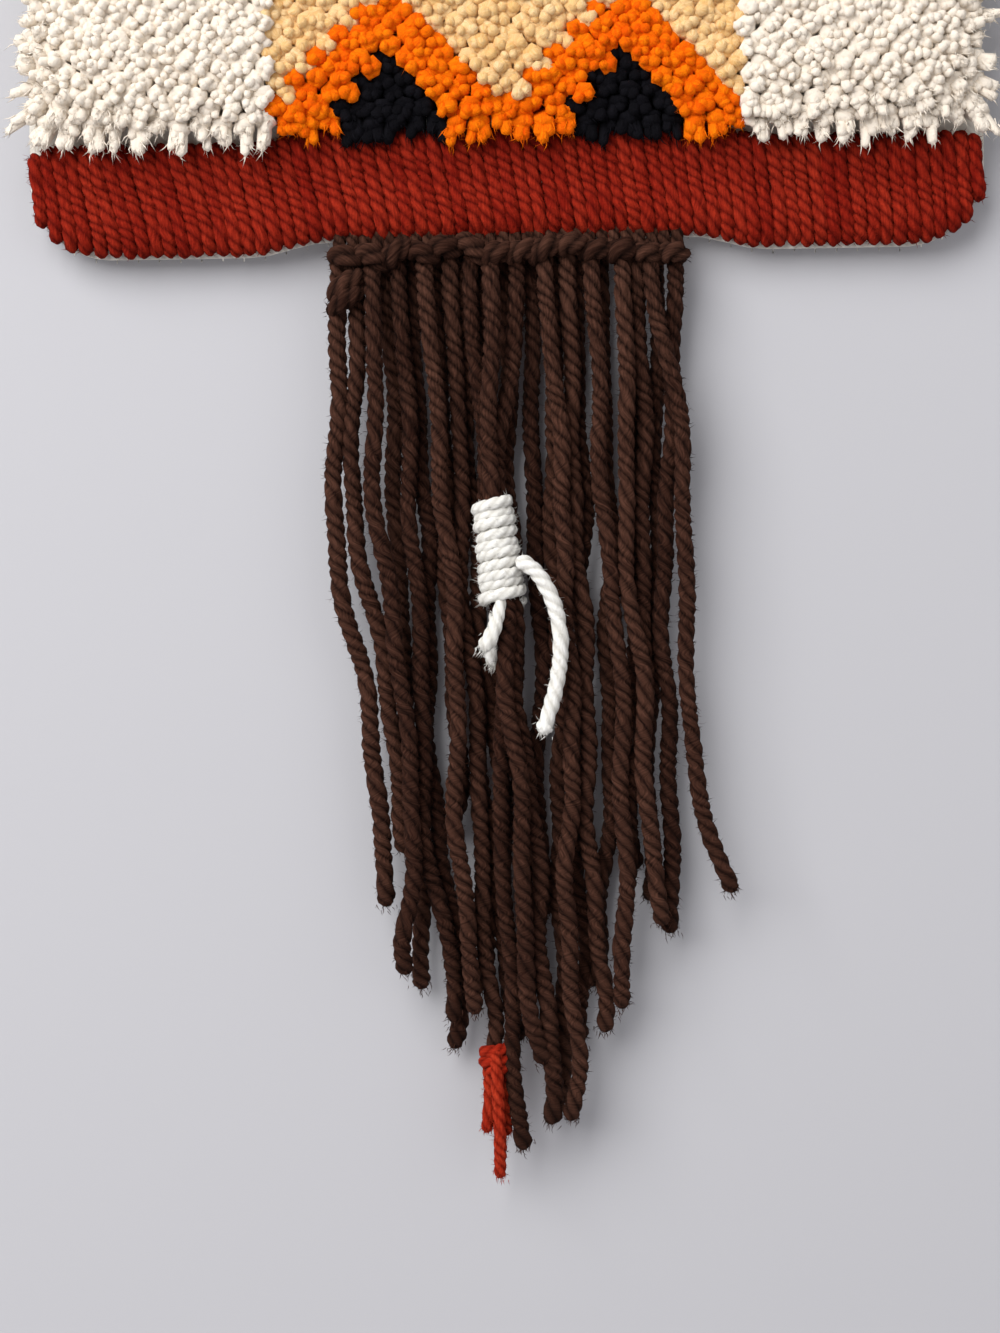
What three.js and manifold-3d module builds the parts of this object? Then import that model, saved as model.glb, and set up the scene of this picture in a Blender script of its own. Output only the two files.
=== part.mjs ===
// Latch hook wall hanging: a rug canvas hooked with wool pile, a band of laid yarn along its lower edge,
// and a knotted fringe that carries two yarn ties.
// Millimetres, +Z up. The front faces -Y and the back lies on the plane y = 0.
// The origin is the middle of the canvas's top edge, on the wall side.
import * as THREE from "three";
import { mergeVertices } from "three/addons/utils/BufferGeometryUtils.js";
import Module from "manifold-3d";

// Driving dimensions: canvas and pile
const MESH = 25.4 / 3.75; // pitch of a rug canvas with 3.75 meshes to the inch
const SIDE_COLUMNS = 11; // knots across each white side
const DIAMOND_RADIUS = 5; // knots from a diamond's middle to its points
const CORE_RADIUS = 2; // knots from a core's middle to its points
const DIAMOND_COLUMNS = 2;
const DIAMOND_PITCH = 2 * DIAMOND_RADIUS + 1;
const DIAMOND_BANDS = 3; // from one row of diamond middles to the next
const CANVAS_WIDTH = 305;
const CANVAS_THICKNESS = 2;
const GAP = 0.3; // between neighbouring pieces
const WHITE_PILE = 22;
const COLOUR_PILE = 18;
const CORE_PILE = 15;
const LUMP = 0.16; // share of the pile height that varies from knot to knot
const SPLAY = 9; // how far the pile leans out past the rim
const RIM_FADE = 8; // distance from the rim over which the lean dies away
const RIM_DROP = 0.45; // share of the pile height lost at the rim
const WHITE_CELLS = { across: 6, up: 18 };

// Driving dimensions: locks of pile at the rim
const LOCK_SIDES = 4;
const LOCK_FAN = 0.35; // how far a lock turns along the rim, as a share of its reach
const LOCK_SEAT = 0.4; // where the locks stand on the leaning rim, as a share of the lean
const LOCK_DEPTH = { least: 0.56, spread: 0.1 }; // where they stand in the pile, as a share of its height
const LOCK_LENGTH = { least: 0.65, spread: 0.6 }; // from the shortest to the longest, as a share of their reach
const LOCK_NOD = 2; // how far a lock's tip comes forward
const WHITE_LOCK = { pitch: 13, root: 5.4, tip: 2.2, reach: 8.5 };
const COLOUR_LOCK = { pitch: 8.4, root: 3.4, tip: 1.6, reach: 6 };

// Driving dimensions: laid yarn band
const BAND_HEIGHT = 36;
const BAND_EDGE = 1.8; // canvas that shows past the band
const BAND_DEPTH = 5.6;
const BAND_STRANDS = 71;
const RIB_DEPTH = 1.3;
const LEAN_LEFT = 0.2; // the strands lean more at the left end than at the right
const LEAN_RIGHT = 0.04;
const END_DROOP = 4.5; // the band's ends hang this far below its middle
const DROOP_FROM = 58;
const DROOP_TO = 82;
const CORNER = 18;
const TOP_CORNER = 8;
const BAND_ROUND = 2; // how far the yarn rolls over at the band's edges

// Driving dimensions: fringe
const YARN_RADIUS = 3.1; // corner radius of a four-sided strand
const PINCHED_RADIUS = 1.8; // where a tie draws the strand in
const PINCH = { from: 4, to: 26 }; // distance from the wrap over which a strand swells again
const STRAND_STEPS = 10;
const WRAPPED_STEPS = 22;
const FRINGE_LEFT = -55.5;
const FRINGE_RIGHT = 55.5;
const KNOTS = 14;
const KNOT_HEIGHT = 11.5;
const KNOT_BACK = 0.8;
const KNOT_DEPTH = 12.8;
const KNOT_BULGE = 1.6;
const LAYER_DEPTH = { back: 3.1, middle: 7.9, front: 12.7 };
const SLIPPED_KNOT = { x: -50.6, depth: 7.4, drop: 14.5, wide: 6.4, deep: 5.2, tall: 8 };
const TIED_TIP = { depth: 9.5, from: 0.85, to: 0.93 }; // the strand end in the red tie, and where it narrows

// Driving dimensions: ties
const WRAP = { top: 83, bottom: 118, x: -6.6, lean: 3, depth: 13.6, inner: 4.8, outer: 7.1, turns: 10 };
const WRAP_CORD = 2.6;
const KNOT_TIE = { top: 254, bottom: 266, inner: 2.7, outer: 4.2, turns: 3 };
const TIE_SIDES = 10;

const PILE_COLUMNS = 2 * SIDE_COLUMNS + DIAMOND_COLUMNS * DIAMOND_PITCH;
const PILE_ROWS = DIAMOND_BANDS * DIAMOND_PITCH + 1;
const PILE_WIDTH = PILE_COLUMNS * MESH;
const PILE_HEIGHT = PILE_ROWS * MESH;
const PILE_BACK = CANVAS_THICKNESS + GAP;
const CANVAS_HEIGHT = PILE_HEIGHT + GAP + BAND_HEIGHT + BAND_EDGE;

// One row for each free strand: x at the knots, at 40 % and at 75 % of its drop and at its tip,
// and how far the tip hangs below the canvas
const STRANDS = [
  { root: -54.0, mid: -56.5, low: -46.5, tip: -40.0, drop: 212, layer: "middle" },
  { root: -48.5, mid: -50.3, low: -41.3, tip: -35.0, drop: 195, layer: "middle" },
  { root: -43.5, mid: -42.7, low: -33.0, tip: -39.0, drop: 233, layer: "front" },
  { root: -35.1, mid: -31.3, low: -28.8, tip: -20.0, drop: 249, layer: "middle" },
  { root: -26.9, mid: -20.6, low: -18.6, tip: -15.4, drop: 246, layer: "front" },
  { root: -18.7, mid: -15.8, low: -11.6, tip: -8.6, drop: 262, layer: "middle", pinchedTip: true },
  { root: 11.4, mid: 16.8, low: 15.6, tip: 16.6, drop: 280, layer: "front" },
  { root: 18.4, mid: 20.4, low: 23.0, tip: 26.0, drop: 253, layer: "middle" },
  { root: 26.0, mid: 29.3, low: 34.0, tip: 30.4, drop: 245, layer: "front" },
  { root: 36.0, mid: 35.9, low: 40.2, tip: 44.3, drop: 219, layer: "front" },
  { root: 40.8, mid: 41.5, low: 37.6, tip: 30.6, drop: 231, layer: "middle" },
  { root: 45.0, mid: 54.4, low: 54.2, tip: 66.0, drop: 209, layer: "front" },
  { root: 52.8, mid: 48.8, low: 47.2, tip: 49.6, drop: 222, layer: "middle" },
  { root: -39.2, mid: -37.0, low: -34.6, tip: -29.6, drop: 239, layer: "back" },
  { root: -31.0, mid: -28.2, low: -25.4, tip: -16.4, drop: 258, layer: "back" },
  { root: -23.0, mid: -22.0, low: -19.6, tip: -19.8, drop: 189, layer: "back" },
  { root: -15.5, mid: -12.6, low: -10.6, tip: -10.4, drop: 240, layer: "back" },
  { root: -8.6, mid: -7.4, low: -5.4, tip: -3.6, drop: 256, layer: "back" },
  { root: -1.6, mid: -0.6, low: 0.6, tip: 4.6, drop: 243, layer: "back" },
  { root: 6.6, mid: 7.2, low: 7.0, tip: 7.4, drop: 216, layer: "back" },
  { root: 13.9, mid: 13.0, low: 13.4, tip: 11.6, drop: 280, layer: "back" },
  { root: 21.4, mid: 22.0, low: 19.6, tip: 18.8, drop: 257, layer: "back" },
  { root: 29.2, mid: 30.4, low: 28.6, tip: 25.4, drop: 239, layer: "back" },
  { root: 37.4, mid: 38.4, low: 37.0, tip: 36.2, drop: 202, layer: "back" },
  { root: 47.0, mid: 46.0, low: 42.8, tip: 40.6, drop: 212, layer: "back" },
];

// One row for each strand that the white wrap gathers: its place in the bundle, how far it stands
// from the wall above and below the wrap, then as above
const WRAPPED_STRANDS = [
  { root: -12.3, angle: 150, depth: 10.2, low: -4.8, tip: 0.2, drop: 289, layer: "middle" },
  { root: -6.0, angle: 270, depth: 16.4, low: 0.6, tip: 3.8, drop: 262, layer: "front" },
  { root: 2.4, angle: 30, depth: 10.2, low: 6.0, tip: 10.4, drop: 281, layer: "middle" },
];

// Free ends of the two ties, as points across, in front of the wall and below the canvas
const WRAP_LONG_END = [
  { x: 0.8, depth: 19.6, drop: 103 },
  { x: 6.0, depth: 20.6, drop: 106.5 },
  { x: 10.6, depth: 20.4, drop: 113.5 },
  { x: 14.0, depth: 19.6, drop: 128 },
  { x: 12.6, depth: 19.0, drop: 142 },
  { x: 7.8, depth: 18.6, drop: 158 },
];
const WRAP_SHORT_END = [
  { x: -4.2, depth: 21.0, drop: 114 },
  { x: -5.8, depth: 21.6, drop: 123 },
  { x: -8.8, depth: 21.4, drop: 129 },
  { x: -13.0, depth: 21.0, drop: 132.5 },
];
const RED_LONG_END = [
  { x: -6.4, depth: 10.0, drop: 263.6 },
  { x: -6.6, depth: 10.4, drop: 275 },
  { x: -7.2, depth: 10.2, drop: 287 },
  { x: -7.6, depth: 10.0, drop: 298 },
];
const RED_SHORT_END = [
  { x: -10.8, depth: 9.0, drop: 263.6 },
  { x: -11.2, depth: 9.0, drop: 273 },
  { x: -11.6, depth: 9.0, drop: 284 },
];
const RED_YARN = 2.1;

const wasm = await Module();
wasm.setup();

// A repeatable value from 0 to 1 for a place on the grid
function chance(a, b = 0) {
  const wave = Math.sin(a * 127.1 + b * 311.7) * 43758.5453;
  return wave - Math.floor(wave);
}

function toSolid(geometry) {
  const loose = geometry.index ? geometry.toNonIndexed() : geometry;
  const bare = new THREE.BufferGeometry().setAttribute("position", loose.getAttribute("position"));
  const merged = mergeVertices(bare, 1e-4);
  const triVerts = new Uint32Array(merged.index.array);
  return new wasm.Manifold(new wasm.Mesh({ numProp: 3, vertProperties: merged.attributes.position.array, triVerts }));
}

function toGeometry(solid) {
  const { vertProperties, triVerts } = solid.getMesh();
  const geometry = new THREE.BufferGeometry();
  geometry.setAttribute("position", new THREE.BufferAttribute(vertProperties, 3));
  geometry.setIndex(new THREE.BufferAttribute(triVerts, 1));
  return geometry;
}

// One closed body from several that reach into each other
function join(geometries) {
  return toGeometry(geometries.map(toSolid).reduce((whole, piece) => whole.add(piece)));
}

// A closed slab over a set of grid cells. front and back give the place of a grid node on each side
function gridSlab(cells, front, back) {
  const taken = new Set(cells.map(([i, j]) => `${i},${j}`));
  const has = (i, j) => Number(taken.has(`${i},${j}`));
  const known = new Map();
  const positions = [];
  const indices = [];
  const vertex = (side, i, j) => {
    const key = `${side.name},${i},${j}`;
    if (!known.has(key)) {
      known.set(key, positions.length / 3);
      positions.push(...side(i, j, has).toArray());
    }
    return known.get(key);
  };
  const quad = (a, b, c, d) => indices.push(a, b, c, a, c, d);
  for (const [i, j] of cells) {
    const ring = [[i, j], [i + 1, j], [i + 1, j + 1], [i, j + 1]];
    const beyond = [[i, j - 1], [i + 1, j], [i, j + 1], [i - 1, j]];
    const [a, b, c, d] = ring.map((node) => vertex(back, ...node));
    quad(...ring.map((node) => vertex(front, ...node)));
    quad(d, c, b, a);
    beyond.forEach((cell, side) => {
      if (has(...cell)) return;
      const from = ring[side];
      const to = ring[(side + 1) % ring.length];
      quad(vertex(front, ...to), vertex(front, ...from), vertex(back, ...from), vertex(back, ...to));
    });
  }
  const geometry = new THREE.BufferGeometry();
  geometry.setAttribute("position", new THREE.Float32BufferAttribute(positions, 3));
  geometry.setIndex(indices);
  return geometry;
}

function rectangleOfCells(across, up) {
  return Array.from({ length: across * up }, (_, n) => [n % across, Math.floor(n / across)]);
}

// Half the gap to a neighbour, towards the slab's own cells around a grid node
function drawIn(has, i, j) {
  const right = has(i, j) + has(i, j - 1);
  const left = has(i - 1, j) + has(i - 1, j - 1);
  const above = has(i, j) + has(i - 1, j);
  const below = has(i, j - 1) + has(i - 1, j - 1);
  return { x: (Math.sign(right - left) * GAP) / 2, z: (Math.sign(above - below) * GAP) / 2 };
}

// A lumpy slab of pile. place gives a grid node's x and z, and the pile leans out at the canvas's rim
function pileSlab(cells, place, height) {
  const at = (i, j, has) => {
    const [x, z] = place(i, j);
    const inward = drawIn(has, i, j);
    return { x: x + inward.x, z: z + inward.z };
  };
  const front = (i, j, has) => {
    const { x, z } = at(i, j, has);
    const sideRim = Math.exp(-(PILE_WIDTH / 2 - Math.abs(x)) / RIM_FADE);
    const topRim = Math.exp(z / RIM_FADE);
    const lowRim = Math.exp(-(z + PILE_HEIGHT) / RIM_FADE);
    const rim = Math.min(1, Math.max(sideRim, topRim, lowRim));
    const lump = 1 - LUMP * chance(x, z);
    const deep = height * lump * (1 - RIM_DROP * rim);
    return new THREE.Vector3(x + Math.sign(x) * SPLAY * sideRim, -PILE_BACK - deep, z + SPLAY * topRim);
  };
  const back = (i, j, has) => {
    const { x, z } = at(i, j, has);
    return new THREE.Vector3(x, -PILE_BACK, z);
  };
  return gridSlab(cells, front, back);
}

// A tapered lock of yarn between two points
function lock(root, tip, size) {
  const along = tip.clone().sub(root);
  const geometry = new THREE.CylinderGeometry(size.tip, size.root, along.length(), LOCK_SIDES);
  const turn = new THREE.Quaternion().setFromUnitVectors(new THREE.Vector3(0, 1, 0), along.clone().normalize());
  return geometry.applyQuaternion(turn).translate(...root.clone().lerp(tip, 0.5).toArray());
}

// Locks in a row from one end of a rim to the other. outward is the way that they point, in x and z
function rimLocks(from, to, outward, size, height) {
  const run = to.clone().sub(from);
  const count = Math.max(1, Math.round(run.length() / size.pitch));
  const sideways = run.clone().normalize();
  return Array.from({ length: count }, (_, n) => {
    const foot = from.clone().addScaledVector(run, (n + 0.5) / count);
    const luck = chance(foot.x, foot.y);
    const reach = size.reach * (LOCK_LENGTH.least + LOCK_LENGTH.spread * luck);
    const fan = n === 0 || n === count - 1 ? 0 : LOCK_FAN * reach * (2 * chance(foot.y, foot.x) - 1);
    const inside = foot.clone().addScaledVector(outward, -size.root);
    const end = foot.clone().addScaledVector(outward, reach).addScaledVector(sideways, fan);
    const depth = PILE_BACK + height * (LOCK_DEPTH.least + LOCK_DEPTH.spread * luck);
    const root = new THREE.Vector3(inside.x, -depth, inside.y);
    return lock(root, new THREE.Vector3(end.x, -depth - LOCK_NOD, end.y), size);
  });
}

const DOWN = new THREE.Vector2(0, -1);
const UP = new THREE.Vector2(0, 1);

// Locks along a stretch of the pile's lower or upper edge
function edgeLocks(left, right, outward, size, height) {
  const z = outward === UP ? SPLAY * LOCK_SEAT : -PILE_HEIGHT;
  return rimLocks(new THREE.Vector2(left + GAP, z), new THREE.Vector2(right - GAP, z), outward, size, height);
}

// White side of the pile: sign is -1 for the left and 1 for the right
function whitePile(sign) {
  const inner = (DIAMOND_COLUMNS * DIAMOND_PITCH * MESH) / 2;
  const left = sign < 0 ? -PILE_WIDTH / 2 : inner;
  const across = (SIDE_COLUMNS * MESH) / WHITE_CELLS.across;
  const up = PILE_HEIGHT / WHITE_CELLS.up;
  const place = (i, j) => [left + i * across, -PILE_HEIGHT + j * up];
  const slab = pileSlab(rectangleOfCells(WHITE_CELLS.across, WHITE_CELLS.up), place, WHITE_PILE);
  const right = left + SIDE_COLUMNS * MESH;
  const rim = sign * (PILE_WIDTH / 2 + SPLAY * LOCK_SEAT);
  const sideLocks = rimLocks(
    new THREE.Vector2(rim, -PILE_HEIGHT),
    new THREE.Vector2(rim, SPLAY * LOCK_SEAT),
    new THREE.Vector2(sign, 0),
    WHITE_LOCK,
    WHITE_PILE,
  );
  const lowLocks = edgeLocks(left, right, DOWN, WHITE_LOCK, WHITE_PILE);
  const topLocks = edgeLocks(left, right, UP, WHITE_LOCK, WHITE_PILE);
  return join([slab, ...sideLocks, ...lowLocks, ...topLocks]);
}

// Grid place of the coloured middle: column 0 is its left edge and row 0 its lowest row
function middlePlace(i, j) {
  return [(i - (DIAMOND_COLUMNS * DIAMOND_PITCH) / 2) * MESH, -PILE_HEIGHT + j * MESH];
}

// Cells of the coloured middle for which wanted is true, given the steps to the nearest diamond's middle
function middleCells(wanted) {
  return rectangleOfCells(DIAMOND_COLUMNS * DIAMOND_PITCH, PILE_ROWS).filter(([i, j]) => {
    const column = Math.floor(i / DIAMOND_PITCH);
    const band = Math.round(j / DIAMOND_PITCH);
    const steps = Math.abs(i - column * DIAMOND_PITCH - DIAMOND_RADIUS) + Math.abs(j - band * DIAMOND_PITCH);
    return wanted({ i, j, column, band, steps });
  });
}

// Stretches of neighbouring cells in one row
function stretches(cells, row) {
  const columns = cells.filter(([, j]) => j === row).map(([i]) => i).sort((a, b) => a - b);
  const starts = columns.filter((i) => !columns.includes(i - 1));
  const ends = columns.filter((i) => !columns.includes(i + 1));
  return starts.map((start, n) => [start, ends[n] + 1]);
}

// A patch of coloured pile, with locks where it meets the upper or lower edge of the canvas
function colourPatch(cells, height) {
  const locks = [[0, DOWN], [PILE_ROWS - 1, UP]].flatMap(([row, outward]) =>
    stretches(cells, row).flatMap(([start, end]) =>
      edgeLocks(middlePlace(start, 0)[0], middlePlace(end, 0)[0], outward, COLOUR_LOCK, height),
    ),
  );
  return join([pileSlab(cells, middlePlace, height), ...locks]);
}

// Outline of the canvas, or of the band where edge is how far it stays inside the canvas
function lowerOutline(top, edge, topCorner) {
  const half = CANVAS_WIDTH / 2 - edge;
  const middle = -CANVAS_HEIGHT + edge;
  const low = middle - END_DROOP;
  const bend = (DROOP_FROM + DROOP_TO) / 2;
  const outline = new THREE.Shape();
  outline.moveTo(-half, top - topCorner);
  outline.lineTo(-half, low + CORNER);
  outline.quadraticCurveTo(-half, low, -half + CORNER, low);
  outline.lineTo(-DROOP_TO, low);
  outline.bezierCurveTo(-bend, low, -bend, middle, -DROOP_FROM, middle);
  outline.lineTo(DROOP_FROM, middle);
  outline.bezierCurveTo(bend, middle, bend, low, DROOP_TO, low);
  outline.lineTo(half - CORNER, low);
  outline.quadraticCurveTo(half, low, half, low + CORNER);
  outline.lineTo(half, top - topCorner);
  if (topCorner > 0) {
    outline.quadraticCurveTo(half, top, half - topCorner, top);
    outline.lineTo(-half + topCorner, top);
    outline.quadraticCurveTo(-half, top, -half, top - topCorner);
  } else {
    outline.lineTo(-half, top);
  }
  return outline;
}

// A plate of an outline in x and z, whose back is a depth in front of the wall
function plate(outline, back, thickness) {
  const geometry = new THREE.ExtrudeGeometry(outline, { depth: thickness, bevelEnabled: false, curveSegments: 6 });
  return geometry.rotateX(Math.PI / 2).translate(0, -back, 0);
}

// Yarn laid side by side down the band, one rib to a strand, cut to the band's outline
function laidBand() {
  const top = -PILE_HEIGHT - GAP;
  const tall = BAND_HEIGHT + BAND_EDGE + END_DROOP;
  const overshoot = LEAN_LEFT * tall;
  const half = CANVAS_WIDTH / 2 + overshoot;
  const ribs = Math.round((BAND_STRANDS * 2 * half) / CANVAS_WIDTH);
  const section = new THREE.Shape().moveTo(-half, 0);
  for (let n = 0; n < ribs; n++) {
    section.lineTo(-half + (2 * half * n) / ribs, BAND_DEPTH - RIB_DEPTH);
    section.lineTo(-half + (2 * half * (n + 0.5)) / ribs, BAND_DEPTH);
  }
  section.lineTo(half, BAND_DEPTH - RIB_DEPTH);
  section.lineTo(half, 0);
  const ribbed = new THREE.ExtrudeGeometry(section, { depth: tall, bevelEnabled: false });
  ribbed.scale(1, -1, -1).translate(0, -PILE_BACK, top);
  const places = ribbed.getAttribute("position");
  for (let n = 0; n < places.count; n++) {
    const lean = THREE.MathUtils.mapLinear(places.getX(n), -half, half, LEAN_LEFT, LEAN_RIGHT);
    places.setX(n, places.getX(n) + lean * (top - tall / 2 - places.getZ(n)));
  }
  const inset = BAND_EDGE + BAND_ROUND;
  const rolled = new THREE.ExtrudeGeometry(lowerOutline(top - BAND_ROUND, inset, TOP_CORNER), {
    depth: BAND_DEPTH - BAND_ROUND,
    bevelSize: BAND_ROUND,
    bevelThickness: BAND_ROUND,
    bevelSegments: 1,
    curveSegments: 6,
  });
  rolled.rotateX(Math.PI / 2).translate(0, -PILE_BACK, 0);
  return toGeometry(toSolid(ribbed).intersect(toSolid(rolled)));
}

// A point of the fringe
function hanging({ x, depth, drop }) {
  return new THREE.Vector3(x, -depth, -CANVAS_HEIGHT - drop);
}

// A four-sided strand down a curve. radiusAt gives its corner radius at a share of its length
function strand(points, steps, radiusAt) {
  const curve = new THREE.CatmullRomCurve3(points);
  const positions = [];
  const indices = [];
  const corners = [45, 135, 225, 315].map(THREE.MathUtils.degToRad);
  for (let k = 0; k <= steps; k++) {
    const share = k / steps;
    const centre = curve.getPointAt(share);
    const along = curve.getTangentAt(share);
    const side = new THREE.Vector3(1, 0, 0).projectOnPlane(along).normalize();
    const out = along.clone().cross(side);
    for (const angle of corners) {
      const corner = centre.clone();
      corner.addScaledVector(side, radiusAt(share, centre) * Math.cos(angle));
      corner.addScaledVector(out, radiusAt(share, centre) * Math.sin(angle));
      positions.push(...corner.toArray());
    }
  }
  const last = 4 * steps;
  for (let k = 0; k < steps; k++) {
    for (let n = 0; n < 4; n++) {
      const [a, b] = [4 * k + n, 4 * k + ((n + 1) % 4)];
      indices.push(a, b, b + 4, a, b + 4, a + 4);
    }
  }
  indices.push(2, 1, 0, 3, 2, 0, last, last + 1, last + 2, last, last + 2, last + 3);
  const geometry = new THREE.BufferGeometry();
  geometry.setAttribute("position", new THREE.Float32BufferAttribute(positions, 3));
  geometry.setIndex(indices);
  return geometry;
}

const ROOT_DROP = KNOT_HEIGHT * 0.55; // strands start inside the knots

function freeStrand({ root, mid, low, tip, drop, layer, pinchedTip }) {
  const depth = LAYER_DEPTH[layer];
  const points = [
    { x: root, depth, drop: ROOT_DROP },
    { x: THREE.MathUtils.lerp(root, mid, 0.5), depth, drop: 0.2 * drop },
    { x: mid, depth, drop: 0.4 * drop },
    { x: low, depth, drop: 0.75 * drop },
    { x: tip, depth: pinchedTip ? TIED_TIP.depth : depth, drop },
  ].map(hanging);
  const narrowing = (share) => THREE.MathUtils.smoothstep(share, TIED_TIP.from, TIED_TIP.to);
  const pinch = (share) => THREE.MathUtils.lerp(YARN_RADIUS, PINCHED_RADIUS, narrowing(share));
  return strand(points, STRAND_STEPS, pinchedTip ? pinch : () => YARN_RADIUS);
}

function wrapAxis(drop) {
  return WRAP.x + (WRAP.lean * (drop - WRAP.top)) / (WRAP.bottom - WRAP.top);
}

function wrappedStrand({ root, angle, depth, low, tip, drop, layer }) {
  const turn = THREE.MathUtils.degToRad(angle);
  const spread = WRAP.inner - PINCHED_RADIUS - 2 * GAP;
  const inBundle = (down) => ({
    x: wrapAxis(down) + spread * Math.cos(turn),
    depth: WRAP.depth - spread * Math.sin(turn),
    drop: down,
  });
  const points = [
    { x: root, depth: LAYER_DEPTH[layer], drop: ROOT_DROP },
    { x: THREE.MathUtils.lerp(root, WRAP.x, 0.35), depth, drop: 0.55 * WRAP.top },
    inBundle(WRAP.top - PINCH.from),
    inBundle(WRAP.bottom + PINCH.from),
    { x: low, depth, drop: 0.75 * drop },
    { x: tip, depth: LAYER_DEPTH.front, drop },
  ].map(hanging);
  const radiusAt = (share, centre) => {
    const down = -CANVAS_HEIGHT - centre.z;
    const outside = Math.max(WRAP.top - down, down - WRAP.bottom, 0);
    return THREE.MathUtils.lerp(PINCHED_RADIUS, YARN_RADIUS, THREE.MathUtils.smoothstep(outside, PINCH.from, PINCH.to));
  };
  return strand(points, WRAPPED_STEPS, radiusAt);
}

// The row of knots that ties the fringe to the canvas's lower edge
function knotRow() {
  const columns = 3 * KNOTS;
  const rows = 3;
  const x = (i) => THREE.MathUtils.lerp(FRINGE_LEFT, FRINGE_RIGHT, i / columns);
  const z = (j) => -CANVAS_HEIGHT - GAP - KNOT_HEIGHT * (1 - j / rows);
  const front = (i, j) => {
    const bulge = (i % 3 ? KNOT_BULGE : 0) - (j === 0 || j === rows ? KNOT_BULGE : 0);
    return new THREE.Vector3(x(i), -KNOT_DEPTH - bulge, z(j));
  };
  const back = (i, j) => new THREE.Vector3(x(i), -KNOT_BACK, z(j));
  return gridSlab(rectangleOfCells(columns, rows), front, back);
}

// The knot at the left end has slipped and hangs below the others
function slippedKnot() {
  const { wide, deep, tall } = SLIPPED_KNOT;
  const knot = new THREE.SphereGeometry(1, 8, 6).scale(wide, deep, tall);
  return knot.translate(...hanging(SLIPPED_KNOT).toArray());
}

function fringe() {
  return join([knotRow(), slippedKnot(), ...STRANDS.map(freeStrand), ...WRAPPED_STRANDS.map(wrappedStrand)]);
}

// A ribbed sleeve of wound cord around the line from one point to another
function woundSleeve(top, bottom, { inner, outer, turns }) {
  const along = top.clone().sub(bottom);
  const length = along.length();
  const pitch = length / turns;
  const groove = outer - Math.min(1, pitch * 0.2);
  const profile = [new THREE.Vector2(inner, 0)];
  for (let n = 0; n < turns; n++) {
    profile.push(new THREE.Vector2(groove, n * pitch), new THREE.Vector2(outer, (n + 0.5) * pitch));
  }
  profile.push(new THREE.Vector2(groove, length), new THREE.Vector2(inner, length), new THREE.Vector2(inner, 0));
  const turn = new THREE.Quaternion().setFromUnitVectors(new THREE.Vector3(0, 1, 0), along.clone().normalize());
  return new THREE.LatheGeometry(profile, TIE_SIDES).applyQuaternion(turn).translate(...bottom.toArray());
}

// A loose end of round yarn through a row of points
function looseEnd(points, radius) {
  const section = new THREE.Shape().absarc(0, 0, radius, 0, 2 * Math.PI);
  const extrudePath = new THREE.CatmullRomCurve3(points.map(hanging));
  return new THREE.ExtrudeGeometry(section, { steps: 8, curveSegments: 3, bevelEnabled: false, extrudePath });
}

// White cotton cord wound round three strands, with a long and a short free end
function wrapTie() {
  const top = hanging({ x: wrapAxis(WRAP.top), depth: WRAP.depth, drop: WRAP.top });
  const bottom = hanging({ x: wrapAxis(WRAP.bottom), depth: WRAP.depth, drop: WRAP.bottom });
  return join([
    woundSleeve(top, bottom, WRAP),
    looseEnd(WRAP_LONG_END, WRAP_CORD),
    looseEnd(WRAP_SHORT_END, WRAP_CORD),
  ]);
}

// Red yarn knotted round the end of one strand, with its two ends hanging
function redTie() {
  const held = STRANDS.find((row) => row.pinchedTip);
  const top = hanging({ x: held.tip, depth: TIED_TIP.depth, drop: KNOT_TIE.top });
  const bottom = hanging({ x: held.tip, depth: TIED_TIP.depth, drop: KNOT_TIE.bottom });
  return join([
    woundSleeve(top, bottom, KNOT_TIE),
    looseEnd(RED_LONG_END, RED_YARN),
    looseEnd(RED_SHORT_END, RED_YARN),
  ]);
}

function wool(color) {
  return new THREE.MeshStandardMaterial({ color, roughness: 0.95, metalness: 0 });
}

const YARN = {
  white: wool("#e8e1d4"),
  orange: wool("#f57406"),
  cream: wool("#e3bf87"),
  black: wool("#101016"),
  rust: wool("#8c2112"),
  brown: wool("#3a241b"),
  cotton: wool("#eeeae2"),
  red: wool("#b93218"),
  canvas: wool("#eae6dc"),
};

const hangingPanel = new THREE.Group();

function add(name, geometry, material) {
  const mesh = new THREE.Mesh(geometry, material);
  mesh.name = name;
  hangingPanel.add(mesh);
}

add("canvas", plate(lowerOutline(0, 0, 0), 0, CANVAS_THICKNESS), YARN.canvas);
add("white_pile_left", whitePile(-1), YARN.white);
add("white_pile_right", whitePile(1), YARN.white);
for (let band = 0; band <= DIAMOND_BANDS; band++) {
  for (let column = 0; column < DIAMOND_COLUMNS; column++) {
    const mine = (cell) => cell.column === column && cell.band === band;
    const ring = middleCells((cell) => mine(cell) && cell.steps <= DIAMOND_RADIUS && cell.steps > CORE_RADIUS);
    const core = middleCells((cell) => mine(cell) && cell.steps <= CORE_RADIUS);
    add(`orange_diamond_${band}_${column}`, colourPatch(ring, COLOUR_PILE), YARN.orange);
    add(`black_core_${band}_${column}`, colourPatch(core, CORE_PILE), YARN.black);
  }
}
for (let band = 0; band < DIAMOND_BANDS; band++) {
  for (let column = 0; column <= DIAMOND_COLUMNS; column++) {
    const between = ({ i, j, steps }) =>
      steps > DIAMOND_RADIUS &&
      Math.round((i - DIAMOND_RADIUS) / DIAMOND_PITCH + 0.5) === column &&
      Math.floor(j / DIAMOND_PITCH) === band;
    add(`cream_lozenge_${band}_${column}`, colourPatch(middleCells(between), COLOUR_PILE), YARN.cream);
  }
}
add("rust_band", laidBand(), YARN.rust);
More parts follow.
